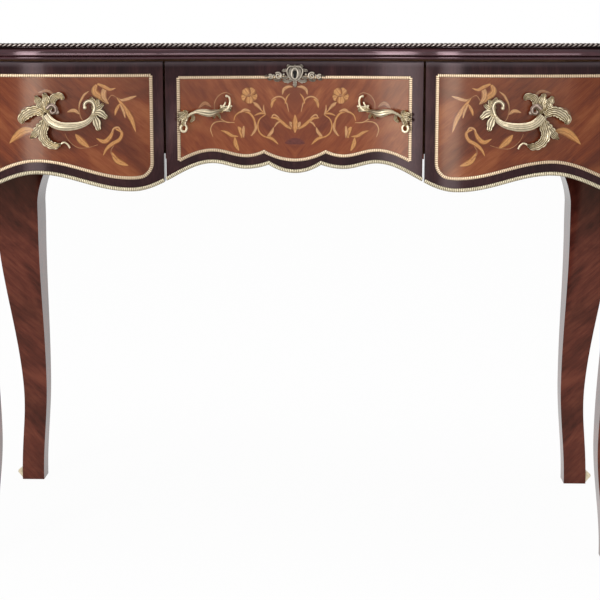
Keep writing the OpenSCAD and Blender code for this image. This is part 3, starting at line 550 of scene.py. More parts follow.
fine = outline(OVERHANG - ROPE_R, 0.8)
run = run_of(fine)
total = run[-1] + np.linalg.norm(fine[0] - fine[-1])
turns = round(total / ROPE_LAY)
rings = []
tones = []
for p, n, at in zip(fine, -normals_2d(fine, closed=True), run):
    lay = 2 * pi * turns * at / total
    ring = []
    for k in range(18):
        a = 2 * pi * k / 18
        swell = abs(cos(STRANDS / 2 * (a - lay)))
        r = ROPE_R * (0.56 + 0.44 * swell**0.7)
        ring.append((*(p + n * r * cos(a)), TOP - ROPE_R + r * sin(a)))
        # Tone: low between the strands and towards the rope's underside. This is painted shade, which
        # rope_brass turns dark.
        above = ease((degrees(a) - 70) / 40) if a < pi else 0.0
        tones.append(swell * (1 - 0.5 * (1 - above) * sin(a - 0.1) ** 2))
    rings.append(ring)
verts, faces = lofted(rings, joined=True)
piece("rope_of_brass", "desk", verts, faces, ROPE, ("rope_band",), "gilt_bronze", tones=tones, sharp=80)

# Case panels


def panel(name, plan, inner, lower, node):
    """A bent panel from its outer and inner plan lines and the heights of its lower edge."""
    rings = [[(*q, z), (*p, z), (*p, CASE_TOP), (*q, CASE_TOP)] for p, q, z in zip(plan, inner, lower)]
    verts, faces = lofted(rings)
    uvs = [(at, v[2]) for at, ring in zip(run_of(plan), rings) for v in ring]
    piece(name, "desk", verts, faces, CASE_WOOD, (node,), "case_veneer", uvs=uvs, bevel=0.6)


ys = np.linspace(-FRONT_LEG_Y, REAR_LEG_Y, 93)
end_low = [end_apron_z(i / 92) for i in range(93)]
for s, side in ((1, "right"), (-1, "left")):
    plans = [[(s * side_x(y, d), y) for y in ys] for d in (0.0, -PANEL_T)]
    panel(side + "_end", *plans, end_low, side + "_end_panel")
xs = np.linspace(-LEG_X, LEG_X, 233)
plans = [[(x, back_y(x, d)) for x in xs] for d in (0.0, -PANEL_T)]
panel("bowed_back", *plans, [apron_z(x) for x in xs], "back_panel")

# Legs: heights of the knee, the innermost place, the change to a square leg and the lower end of the posts
KNEE_Z = 450
SWEEP_Z = 185
SQUARE_Z = 575
POST_Z = 622
SWEEP = 9
TOE = 3
FLARE = 13
KNEE_W = 75
ANKLE_W = 39


def hit(p, u):
    """Distance from p along u to the outline of the case."""
    for k, (c, r, a, b) in enumerate(arcs(0.0)):
        m = p - c
        e = float(m @ u)
        q = e * e - float(m @ m) + r * r
        if q < 0:
            continue
        t = -e + (-1 if k == 0 else 1) * sqrt(q)
        angle = heading(m + t * u)
        if t > 0 and min(a, b) - 2e-4 <= angle <= max(a, b) + 2e-4:
            return t
    return None


def leg_sweep(z):
    """How far a leg is set inwards at a height; the toe kicks out again."""
    if z > SWEEP_Z:
        return SWEEP * ease((KNEE_Z - z) / (KNEE_Z - SWEEP_Z))
    return mix(SWEEP, -TOE, ease((SWEEP_Z - z) / SWEEP_Z))


def leg_root(end):
    return np.array([LEG_X, -FRONT_LEG_Y if end < 0 else REAR_LEG_Y])


def leg_corner(end, z):
    """The leg's inner corner; end is -1 in front."""
    return leg_root(end) - leg_sweep(z) * np.array([1, end])


def leg_point(end, z, a, out=0.0):
    """A point of the leg, a radians from its front or back face to its end face."""
    width = mix(KNEE_W, ANKLE_W, ease((520 - z) / 410))
    blunt = mix(4, 14, min(max((SQUARE_Z - z) / 250, 0), 1))
    s = abs(sin(a))
    c = abs(cos(a))
    square = width / (s**blunt + c**blunt) ** (1 / blunt)
    u = np.array([sin(a), end * cos(a)])
    r = mix(hit(leg_root(end), u), square, ease((SQUARE_Z - z) / 125)) + out
    return np.array([*(leg_corner(end, z) + r * u), z])


def leg_flare(z):
    """How far the inner side of a rear leg spreads towards the middle, under the case."""
    return FLARE * min(max((z - 503) / 52, 0), 1) ** 1.7 if z < POST_Z + 0.2 else 0.0


def leg(end, s, name, node):
    t = np.linspace(-1, 1, 61)
    angles = np.radians(45 + 45 * (0.45 * t + 0.55 * t**3))
    rings = []
    uvs = []
    for z in [CASE_TOP, 700, 640, POST_Z + 0.4, POST_Z, *np.linspace(600, 0, 101)]:
        corner = (*leg_corner(end, z), z)
        ring = [corner] + [tuple(leg_point(end, z, a)) for a in angles] + [corner]
        spread = leg_flare(z) if end > 0 else 0.0
        shift = [spread] + [spread * max(0.0, 1 - a / 0.12) for a in angles]
        rings.append([(p[0] - d, p[1], p[2]) for p, d in zip(ring[:-1], shift)])
        run = run_of(ring)
        mid = run[1 + len(angles) // 2]
        uvs += [(abs(run[k] - mid), z) for k in range(len(ring) - 1)]
    verts, faces = mirrored(*lofted(rings), s)
    piece(name, "desk", verts, faces, LEG_WOOD, (node,), "leg_veneer", uvs=uvs, sharp=30)


LEGS = [(-1, -1, "front_left"), (-1, 1, "front_right"), (1, -1, "rear_left"), (1, 1, "rear_right")]
for end, s, name in LEGS:
    leg(end, s, name + "_cabriole", name + "_leg")


MOUNT_GAP = 0.3


def leg_mount(end, s, name, node, low, high, rows, half, rise):
    """A cast leaf over a leg's outer corner: half width in degrees, and thickness with tone, by place; a low
    tone paints shade into the hollows between the veins.
    """
    cols = 33
    front = []
    back = []
    tones = []
    for i in range(rows + 1):
        t = i / rows
        z = mix(low, high, t)
        for k in range(cols):
            v = 2 * k / (cols - 1) - 1
            a = radians(45 + v * half(t, v))
            h, tone = rise(t, v)
            front.append(leg_point(end, z, a, MOUNT_GAP + h))
            back.append(leg_point(end, z, a, MOUNT_GAP))
            tones.append(tone)
    o = len(front)
    verts = front + back
    faces = []
    for i in range(rows):
        for k in range(cols - 1):
            a = i * cols + k
            faces.append((a, a + 1, a + cols + 1, a + cols))
            faces.append((o + a, o + a + cols, o + a + cols + 1, o + a + 1))
        a = i * cols
        faces.append((a, a + cols, o + a + cols, o + a))
        a += cols - 1
        faces.append((a + cols, a, o + a, o + a + cols))
    for k in range(cols - 1):
        faces.append((k + 1, k, o + k, o + k + 1))
        a = rows * cols + k
        faces.append((a, a + 1, o + a + 1, o + a))
    verts, faces = mirrored(verts, turned_out(verts, faces), s)
    piece(name, "desk", verts, faces, GILT, (node,), "gilt_bronze", tones=tones + tones, sharp=50)


def lobe(t, v, count):
    """Veins that sweep outwards to the lobes of the edge."""
    return 0.5 + 0.5 * cos(2 * pi * (count * t + 0.8 * abs(v)))


def bell(v, middle, width):
    return exp(-(((v - middle) / width) ** 2))


def sabot_half(t, v):
    return 4 + 35 * (1 - t) ** 0.6 * (0.80 + 0.20 * lobe(t, 1, 4))


def sabot_rise(t, v):
    rib = bell(v, 0, 0.14)
    vein = lobe(t, v, 4)
    scroll = bell(t, 0.09, 0.07) * min(1.0, (1 - abs(v)) * 3)
    edge = min(1.0, (1 - abs(v)) * 7)
    h = (0.5 + (1.0 - 0.3 * t) * (1.0 + 1.1 * rib + 0.6 * vein)) * edge + 11.5 * scroll
    return h, 0.32 + 0.3 * vein + 0.4 * rib + 0.35 * scroll


def knee_half(t, v):
    spread = sin(pi / 2 * min(t * 1.3, 1)) ** 0.8 * (1 - 0.25 * t**3)
    return 3 + 26 * spread * (0.80 + 0.20 * lobe(t, 1, 6))


def knee_rise(t, v):
    rib = bell(v, 0, 0.11)
    vein = lobe(t, v, 6)
    boss = bell(t, 0.66, 0.10) * max(1 - abs(v) * 1.3, 0)
    edge = min(1.0, (1 - abs(v)) * 7)
    h = (1.6 + 1.0 * rib + 0.6 * vein * abs(v) ** 0.3) * edge + 3.8 * boss
    return h, 0.32 + 0.3 * vein + 0.4 * rib + 0.3 * boss


for end, s, name in LEGS:
    leg_mount(end, s, name + "_foot_leaf", name + "_sabot", 1, 98, 60, sabot_half, sabot_rise)
    leg_mount(end, s, name + "_knee_leaf", name + "_knee_mount", 535, 750, 90, knee_half, knee_rise)

# Drawer fronts

FRONTS = [
    ("left", SIDE_START, FRONT_END, -1),
    ("centre", -CENTRE_END, CENTRE_END, 1),
    ("right", SIDE_START, FRONT_END, 1),
]
EDGE_R = 2.5


def cusps(x, x0, x1):
    """Places of the cusps at -x and x, as far as they lie between x0 and x1."""
    return [k for k in (-x, x) if x0 < k < x1]


def front_board(side, x0, x1, s):
    """A front with a rounded upper edge, dark-bordered all over; the field lies on it."""
    n = round((x1 - x0) / 2.5)
    rings = []
    uvs = []
    for x in sorted({*np.linspace(x0, x1, n + 1), *cusps(CUSP_X, x0, x1)}):
        y = float(front_y(x))
        b = float(front_y(x, -FRONT_T))
        z = apron_z(x)
        ring = [(b, z), (y, z)]
        for a in np.radians((0, 22.5, 45, 67.5, 90)):
            ring.append((y + EDGE_R - EDGE_R * cos(a), FRONT_TOP - EDGE_R + EDGE_R * sin(a)))
        ring += [(b, FRONT_TOP)]
        rings.append([(x, v, w) for v, w in ring])
        uvs += [(x, w + v - y) for v, w in ring]
    verts, faces = mirrored(*lofted(rings), s)
    body = side + "_drawer"
    piece(side + "_front", body, verts, faces, BORDER_WOOD, (body + "_front",), "marquetry", uvs=uvs,
          sharp=30, bevel=0.5)


for row in FRONTS:
    front_board(*row)

# Heights over the front's own face: the field, and the lowest layer of the marquetry
FIELD_OUT = 0.05
INLAY_OUT = 0.07


def field_lines(side):
    """Ends, rounding and upper edge of a field."""
    if side == "centre":
        return BORDER_END - CENTRE_END, CENTRE_END - BORDER_END, 0.0, FRONT_TOP - BORDER_TOP
    return SIDE_START + BORDER_SIDE, FRONT_END - BORDER_LEG, FIELD_R, FRONT_TOP - BORDER_TOP_SIDE


STRING_CUSP = 45.0


def lower_line(x):
    return apron_z(x, STRING_CUSP) + BORDER_LOW


def field_low(x, x0, r):
    if r and x < x0 + r:
        return lower_line(x) + r - sqrt(max(r * r - (x0 + r - x) ** 2, 0))
    return lower_line(x)


def on_front(x, z, out):
    return (x, float(front_y(x)) - out, z)


for side, _, _, s in FRONTS:
    x0, x1, r, top_z = field_lines(side)
    rounding = x0 + r * (1 - np.cos(np.linspace(0, pi / 2, 8)))
    cols = np.unique(np.concatenate([np.linspace(x0, x1, 150), rounding, cusps(STRING_CUSP, x0, x1)]))
    rows = 9
    verts = []
    uvs = []
    for x in cols:
        low = field_low(x, x0, r)
        for j in range(rows):
            z = mix(low, top_z, j / (rows - 1))
            verts.append(on_front(x, z, FIELD_OUT))
            uvs.append((abs(x) + 3, z))
    faces = [(i * rows + j, (i + 1) * rows + j, (i + 1) * rows + j + 1, i * rows + j + 1)
             for i in range(len(cols) - 1) for j in range(rows - 1)]
    verts, faces = mirrored(verts, faces, s)
    wood_here = FIELD_CENTRE if side == "centre" else FIELD_SIDE
    piece(side + "_field", side + "_drawer", verts, faces, wood_here, (), "marquetry", uvs=uvs)

# Milled brass: stringing round the fields and bands on the lower edges

# A ridge across the strip, as shares of its width and height
RIDGE = [(-0.5, 0.0), (-0.49, 0.45), (-0.3, 0.8), (0, 1.0), (0.3, 0.8), (0.49, 0.45), (0.5, 0.0)]


def milled(path, width, rise, pitch=2.7, lean=on_front):
    """A strip along a path in x and z with rounded cross ridges."""
    pts = even(path, max(2, round(run_of(path)[-1] / pitch)) * 6)
    rings = []
    tones = []
    for i, (p, n) in enumerate(zip(pts, normals_2d(pts))):
        phase = (0.5 - 0.5 * cos(2 * pi * i / 6)) ** 0.7
        ring = []
        for off, h in RIDGE:
            q = p - n * off * width
            ring.append(lean(q[0], q[1], SEAT + h * rise * (0.55 + 0.45 * phase)))
            # Tone, painted shade: low in the hollows between the ridges and at the strip's edges, giving a
            # dark shadow line along each side.
            tones.append((0.16 + 0.84 * phase) * min(1.0, 1.4 * h))
        rings.append(ring)
    return *lofted(rings), tones


def gathered(parts):
    """One list of points, of faces and of tones from several."""
    verts = []
    faces = []
    tones = []
    for v, f, t in parts:
        faces += [tuple(k + len(verts) for k in g) for g in f]
        verts += v
        tones += t
    return verts, faces, tones


def milled_piece(name, body, strip, mat, node, s=1):
    verts, faces, tones = strip
    verts, faces = mirrored(verts, faces, s)
    piece(name, body, verts, faces, mat, (node,), "milled_brass", tones=tones, sharp=75)


for side, _, _, s in FRONTS:
    x0, x1, r, top_z = field_lines(side)
    inside = [x for x in np.linspace(x0, x1, 160) if x0 + r + 1 < x < x1 - 0.5]
    inside = sorted(inside + cusps(STRING_CUSP, x0, x1))
    start = [(x0 + r - r * sin(a), lower_line(x0 + r - r * sin(a)) + r - r * cos(a))
             for a in fan(90, 0, 8)] if r else [(x0, lower_line(x0))]
    lower = start + [(x, lower_line(x)) for x in inside] + [(x1, lower_line(x1))]
    runs = [lower]
    for a, b in ((lower[-1], (x1, top_z)), ((x1, top_z), (x0, top_z)), ((x0, top_z), lower[0])):
        a, b = np.array(a), np.array(b)
        runs.append([tuple(a + (b - a) * t) for t in np.linspace(0, 1, 60)])
    strip = gathered([milled(run, STRING_W, STRING_RISE) for run in runs])
    milled_piece(side + "_milled_line", side + "_drawer", strip, MILLED, side + "_stringing", s)

for side, x0, x1, s in FRONTS:
    xs = sorted([*np.linspace(x0, x1, round((x1 - x0) / 2)), *cusps(CUSP_X, x0, x1)])
    strip = milled([(x, apron_z(x) + BAND_H / 2) for x in xs], BAND_H, BAND_RISE, 2.6)
    milled_piece(side + "_lower_band", side + "_drawer", strip, BANDS, side + "_edge_band", s)

line = [(y, end_apron_z((y + FRONT_LEG_Y) / (FRONT_LEG_Y + REAR_LEG_Y)) + BAND_H / 2) for y in ys]
v, f, t = milled(line, BAND_H, BAND_RISE, 3.0, lambda y, z, out: (float(side_x(y, out)), y, z))
ends = gathered([(*mirrored(v, f, s), t) for s in (1, -1)])
milled_piece("end_bands", "desk", ends, BANDS, "end_edge_bands")
line = [(x, apron_z(x) + BAND_H / 2) for x in np.linspace(-LEG_X, LEG_X, 465)]
back = milled(line, BAND_H, BAND_RISE, 3.0, lambda x, z, out: (x, float(back_y(x, out)), z))
milled_piece("back_band", "desk", back, BANDS, "back_edge_band")

# Marquetry: leaves, petals and scrolls of pale wood laid in the fields

inlay_parts = {side: {key: [] for key in ("verts", "faces", "uvs", "tones", "picks")} for side in SIDES}
INLAY_STEPS = 26
INLAY_COLS = 7


def inlay(group, width, wood_pick, first, last, bulge, layer, *points):
    """A leaf or a scroll along points in x and z, widest at bulge, its ends' widths as shares of that."""
    part = inlay_parts[group]
    path = spline(points, INLAY_STEPS)
    run = run_of(path)
    base = len(part["verts"])
    for i, (p, n) in enumerate(zip(path, normals_2d(path))):
        t = i / INLAY_STEPS
        if t < bulge:
            w = mix(first, 1.0, sin(pi / 2 * t / bulge) ** 0.8)
        else:
            w = mix(last, 1.0, sin(pi / 2 * (1 - t) / (1 - bulge)) ** 0.8)
        for k in range(INLAY_COLS):
            v = k / (INLAY_COLS - 1)
            q = p + n * (v - 0.5) * w * width * 1.22
            part["verts"].append(on_front(q[0], q[1], INLAY_OUT + 0.015 * layer))
            part["uvs"].append((run[i], (v - 0.5) * w * width + 40 * len(part["picks"]) % 997))
            part["tones"].append(v)
    for i in range(INLAY_STEPS):
        for k in range(INLAY_COLS - 1):
            a = base + i * INLAY_COLS + k
            part["faces"].append((a, a + 1, a + INLAY_COLS + 1, a + INLAY_COLS))
            part["picks"].append(wood_pick)


def flower(x, z, r, turn):
    """Five notched petals round a darker heart, on the centre front."""
    for k in range(5):
        a = radians(turn + 72 * k)
        tip = (x + r * cos(a), z + r * sin(a))
        middle = ((x + tip[0]) / 2, (z + tip[1]) / 2)
        inlay("centre", r * 0.98, 0, 0.25, 0.55, 0.68, 1 + k % 2, (x, z), middle, tip)
    inlay("centre", r * 0.34, 2, 0.3, 0.3, 0.5, 4, (x - r * 0.2, z), (x, z), (x + r * 0.2, z))


# Width, wood (0 ochre, 1 pale, 2 brown, 3 dark), shares of the width at both ends, place of the widest
# part, layer, then points in x and z
SIDE_INLAYS = [
    (9, 0, 0.3, 0.05, 0.4, 1, (276, 723), (279, 714), (271, 706), (260, 696)),
    (7, 1, 0.4, 0.05, 0.4, 2, (262, 721), (266, 714), (266, 705), (260, 696)),
    (5, 0, 0.05, 0.4, 0.6, 3, (250, 718), (258, 716), (266, 720), (275, 724)),
    (4.5, 1, 0.05, 0.1, 0.45, 1, (222, 707), (233, 703), (243, 701), (249, 705)),
    (6.5, 0, 0.1, 0.03, 0.55, 2, (249, 705), (238, 690), (229, 674), (224, 656)),
    (3.6, 1, 0.1, 0.1, 0.5, 3, (245, 697), (240, 686), (238, 676)),
    (4.2, 0, 0.1, 0.05, 0.5, 1, (244, 697), (249, 689), (252, 680)),
    (1.2, 2, 0.6, 0.6, 0.5, 4, (249, 705), (256, 708), (262, 700)),
    (1.6, 2, 0.4, 0.5, 0.5, 1, (288, 713), (296, 704), (301, 692), (299, 678), (293, 671), (285, 673)),
    (3.0, 1, 0.2, 0.1, 0.4, 2, (287, 714), (294, 708), (300, 697), (301, 690)),
    (5, 1, 0.1, 0.05, 0.45, 3, (301, 682), (308, 687), (318, 685)),
    (5, 0, 0.4, 0.15, 0.6, 1, (251, 661), (243, 656), (246, 646), (256, 640), (264, 633), (269, 624)),
    (6, 0, 0.2, 0.1, 0.55, 2, (254, 660), (260, 648), (268, 643), (278, 648)),
    (2.6, 1, 0.3, 0.3, 0.5, 3, (244, 658), (248, 663), (254, 661), (257, 655)),
    (7.5, 0, 0.1, 0.05, 0.5, 1, (257, 628), (252, 619), (246, 614), (235, 609)),
    (1.2, 2, 0.6, 0.4, 0.5, 2, (254, 638), (258, 631), (257, 624), (250, 618)),
    (8.5, 0, 0.1, 0.05, 0.45, 1, (307, 654), (299, 645), (288, 635)),
    (1.1, 2, 0.6, 0.6, 0.5, 2, (276, 639), (290, 635), (304, 635), (316, 644), (322, 655)),
    (11, 0, 0.1, 0.03, 0.4, 1, (364, 659), (380, 658), (393, 650), (404, 640)),
    (4.5, 2, 0.1, 0.05, 0.5, 1, (334, 707), (345, 714), (359, 712)),
    (10, 2, 0.2, 0.1, 0.5, 1, (368, 690), (381, 684), (386, 671)),
]
CENTRE_INLAYS = [
    (4.6, 0, 0.5, 0.25, 0.4, 2, (-5, 658), (-12, 662), (-19, 668), (-26, 673), (-35, 674)),
    (2.6, 1, 0.3, 0.1, 0.5, 3, (-20, 669), (-26, 666), (-30, 660)),
    (2.4, 1, 0.3, 0.1, 0.5, 3, (-34, 674), (-30, 678), (-22, 673)),
    (2.3, 0, 0.5, 0.5, 0.5, 1, (-43, 678), (-51, 672), (-54, 662), (-51, 652), (-43, 646), (-36, 647),
     (-33, 655)),
    (4.5, 1, 0.1, 0.2, 0.5, 2, (-31, 660), (-34, 653), (-40, 647)),
    (4.0, 0, 0.2, 0.05, 0.45, 2, (-43, 646), (-33, 643), (-24, 635)),
    (2.2, 1, 0.5, 0.3, 0.4, 1, (-33, 691), (-33, 699), (-25, 704), (-17, 702), (-12, 694), (-9, 682)),
    (4.2, 0, 0.1, 0.2, 0.4, 2, (-34, 688), (-32, 696), (-27, 701)),
    (2.6, 0, 0.5, 0.05, 0.3, 2, (-14, 694), (-12, 702), (-7, 709)),
    (4.4, 1, 0.1, 0.1, 0.5, 1, (-18, 707), (-16, 714), (-10, 718), (-3, 718)),
    (1.7, 0, 0.6, 0.6, 0.5, 1, (-42, 678), (-50, 686), (-59, 693)),
    (3.8, 1, 0.1, 0.3, 0.6, 2, (-48, 684), (-54, 692), (-60, 696)),
    (2.4, 1, 0.5, 0.05, 0.3, 2, (-43, 679), (-45, 686), (-45, 693)),
    (2.8, 0, 0.05, 0.4, 0.5, 1, (-59, 677), (-50, 680), (-42, 679)),
    (3.0, 0, 0.3, 0.6, 0.4, 1, (-88, 670), (-85, 678), (-76, 683), (-67, 681), (-61, 675), (-58, 666),
     (-59, 655), (-64, 648)),
    (4.4, 1, 0.1, 0.1, 0.5, 2, (-80, 681), (-72, 685), (-64, 683)),
    (3.6, 1, 0.1, 0.3, 0.6, 2, (-57, 668), (-57, 658), (-63, 648)),
    (6.0, 0, 0.3, 0.25, 0.3, 1, (-82, 661), (-79, 655), (-77, 645)),
    (4.5, 1, 0.3, 0.05, 0.4, 2, (-74, 662), (-75, 654), (-74, 645)),
    (4.6, 0, 0.05, 0.2, 0.5, 1, (-107, 656), (-99, 653), (-91, 648), (-82, 647)),
    (6.4, 0, 0.1, 0.05, 0.45, 2, (-87, 646), (-86, 636), (-81, 626)),
    (1.8, 1, 0.4, 0.4, 0.5, 1, (-116, 683), (-108, 674), (-99, 668), (-87, 667)),
    (1.8, 1, 0.3, 0.3, 0.5, 1, (-118, 647), (-121, 658), (-117, 666), (-109, 669), (-100, 668)),
    (1.8, 2, 0.3, 0.2, 0.5, 1, (-115, 684), (-115, 696), (-109, 706), (-99, 710), (-90, 706)),
    (5.5, 2, 0.1, 0.1, 0.5, 1, (-138, 688), (-129, 695), (-120, 690)),
]
for side in ("left", "right"):
    for row in SIDE_INLAYS:
        inlay(side, *row)
for s in (1, -1):
    for width, *how in CENTRE_INLAYS:
        inlay("centre", s * width, *how[:5], *[(s * x, z) for x, z in how[5:]])
    flower(s * -66, 706, 11.5, 90 - 36)
inlay("centre", 7.5, 0, 0.1, 0.15, 0.5, 3, (0, 678), (0, 665), (0, 652))
inlay("centre", 6.5, 1, 0.1, 0.2, 0.4, 2, (-8, 668), (-3, 661), (1, 655))
inlay("centre", 6.5, 1, 0.1, 0.2, 0.4, 2, (8, 668), (3, 661), (-1, 655))
inlay("centre", 8, 3, 0.05, 0.05, 0.5, 0, (-15, 637), (0, 640), (15, 637))
for side in SIDES:
    part = inlay_parts[side]
    if side == "left":
        part["verts"] = [(-x, y, z) for x, y, z in part["verts"]]
    woods = [INLAY, INLAY_PALE, INLAY_BROWN, INLAY_DARK]
    piece(side + "_inlay", side + "_drawer", mats=woods, replaces=(), slot="marquetry", **part)

# Handles: cast leaves with flutes, round a fluted stem


class Casting:
    """Leaves and rods in x, z and out from the front, gathered into one mesh; the tone each point carries
    paints shade into flutes, edges and undersides.
    """

    def __init__(self):
        self.verts = []
        self.faces = []
        self.tones = []

    def add(self, rings, tones):
        base = len(self.verts)
        verts, faces = lofted(rings)
        self.verts += [on_front(x, z, out) for x, z, out in verts]
        test = [(v[0], -v[2], v[1]) for v in verts]
        self.faces += [tuple(k + base for k in f) for f in turned_out(test, faces)]
        self.tones += tones

    def leaf(self, points, width, lobes, cut, tip, root, out=(7, 6), thick=3.6, bulge=0.55, curl=0, flutes=5):
        """A broad leaf with a raised rim, flutes along it and a lobed edge; curl lifts its tip."""
        n = 10 * max(lobes, 3)
        path = spline(points, n)
        rings = []
        tones = []
        for i, (p, q) in enumerate(zip(path, normals_2d(path))):
            t = i / n
            if t < bulge:
                w = mix(root, 1.0, sin(pi / 2 * t / bulge))
            else:
                w = mix(tip, 1.0, cos(pi / 2 * (t - bulge) / (1 - bulge)) ** 0.8)
            w *= min(1.0, ((1 - t) * 9) ** 0.5 + 0.12)
            notch = (0.5 + 0.5 * cos(2 * pi * (lobes * t + 0.5))) ** 2
            w *= (1 - cut * notch) * width / 2
            lift = mix(out[0], out[1], t) + curl * t**3
            ring = []
            for k in range(25):
                v = k / 12 - 1
                dome = sqrt(max(1 - v * v, 0))
                rim = bell(abs(v), 0.82, 0.14) * (1 - 0.8 * notch)
                flute = 0.5 + 0.5 * cos(pi * flutes * v)
                inner = 1 - abs(v) ** 3
                h = thick * (0.2 + 0.45 * dome**0.5 + 0.3 * rim + 0.3 * flute * inner)
                ring.append((*(p + q * v * w), lift + (h if abs(v) < 1 else 0.0)))
                # Tone, painted shade: low in the flutes, towards the leaf's edges and on its underside.
                tones.append((0.16 + 0.6 * flute * inner + 0.75 * rim) * min(1.0, dome * 2))
            for v in (0.7, 0.0, -0.7):
                ring.append((*(p + q * v * w), lift - 0.25 * thick))
                tones.append(0.1)
            rings.append(ring)
        self.add(rings, tones)

    def rod(self, points, radius, flutes=0, groove=0.0, flat=0.85):
        """A rod along x, z and out, with radius(t)."""
        n = 48
        path = spline(points, n)
        rings = []
        tones = []
        for i, (p, q) in enumerate(zip(path, normals_2d(path[:, :2]))):
            r = radius(i / n)
            ring = []
            for k in range(36):
                a = 2 * pi * k / 36
                f = 0.5 + 0.5 * cos(flutes * 2 * a)
                g = r * (1 - groove * (1 - f))
                ring.append((*(p[:2] + q * g * cos(a)), p[2] + flat * g * sin(a)))
                tones.append(0.2 + 0.75 * f if flutes else 0.7)
            rings.append(ring)
        self.add(rings, tones)

    def ball(self, x, z, out, r):
        rings = []
        tones = []
        for i in range(1, 12):
            a = pi * i / 12
            flat = r * sin(a)
            rings.append([(x + flat * cos(b), z + flat * sin(b), out - r * cos(a) * 0.8)
                          for b in np.linspace(0, 2 * pi, 20, endpoint=False)])
            tones += [0.55 + 0.4 * sin(a)] * 20
        self.add(rings, tones)

    def posts(self, spots, reach, r):
        """Round posts that stand on the front."""
        for x, z in spots:
            self.rod([(x, z, 0.2), (x, z + 0.01, 4), (x, z + 0.02, reach)], lambda t: r, flat=1.0)

    def finish(self, name, body, nodes, s, mat=GILT):
        verts, faces = mirrored(self.verts, self.faces, s)
        piece(name, body, verts, faces, mat, nodes, "gilt_bronze", tones=self.tones, sharp=60)


def big_handle(side, s):
    c = Casting()
    stem = [(279, 690, 7), (280.5, 681, 9), (287, 672.5, 13), (298, 667.5, 17), (313, 665.5, 18),
            (328, 667, 17), (339, 672.5, 15), (346.5, 681, 13)]
    c.rod(stem, lambda t: mix(2.7, 5.0, ease(t * 1.6)) + 1.0 * t, 5, 0.2)
    # The smaller end: a hooked scroll, lobes on its outer side and two leaves below
    hook = [(280, 684, 9), (278, 692, 9.5), (281, 699, 10), (287, 700.5, 10), (291.5, 697, 10),
            (292, 692, 10)]
    c.rod(hook, lambda t: 2.9 - 0.7 * t, 2, 0.16)
    c.ball(291.5, 691.5, 9.5, 2.7)
    for width, cut, tip, *line in (
        (6.5, 0.14, 0.5, (281, 690), (279, 699), (284, 706)),
        (6.5, 0.14, 0.5, (280, 689), (274, 697), (274, 704)),
        (7, 0.14, 0.5, (280, 688), (271, 692), (266, 697)),
        (11, 0.16, 0.35, (281, 684), (271, 684), (261, 676)),
        (12, 0.16, 0.4, (280, 682), (276, 672), (273, 659)),
    ):
        c.leaf(line, width, 2, cut, tip, 0.5, flutes=3)
    # The larger end: leaves all round a browned volute
    for line, *how in (
        ([(346, 684), (339, 695), (334, 705), (325, 708), (320, 703)], 12, 5, 0.16, 0.6, 0.6,
         (8, 10), 3.8, 0.5, 2),
        ([(346, 684), (345, 698), (349, 712)], 14, 3, 0.24, 0.35, 0.5),
        ([(348, 684), (355, 696), (361, 708)], 13, 4, 0.26, 0.35, 0.5),
        ([(349, 682), (361, 687), (372, 684), (381, 676), (380, 669)], 17, 6, 0.16, 0.55, 0.6,
         (8, 8), 4.4, 0.6, 2),
        ([(347, 676), (352, 667), (361, 657), (371, 648)], 16, 5, 0.24, 0.15, 0.6, (7, 5), 3.6, 0.45),
        ([(345, 678), (349, 665), (352, 654), (347, 644), (337, 638.5), (326, 640)], 15.5, 8, 0.16, 0.5, 0.8,
         (8, 8), 4.2, 0.4, 1.5),
    ):
        c.leaf(line, *how)
    c.rod([(329, 639, 8), (322, 643, 8), (317, 640, 7), (314, 635, 7)], lambda t: 1.3)
    c.posts(((279, 681), (347, 679)), 9, 5.6)
    name = side + "_large_handle"
    c.finish(name, side + "_drawer", (side + "_handle",), s)
    knob = Casting()
    curl = [(344, 690, 15), (338, 695, 15), (332, 692, 14.5), (332, 686, 14), (337, 684, 14), (339, 688, 14)]
    knob.rod(curl, lambda t: 3.2 - 1.0 * t, 2, 0.2)
    knob.ball(330, 685, 12, 3.2)
    knob.finish(name + "_volute", side + "_drawer", (), s, BROWNED)


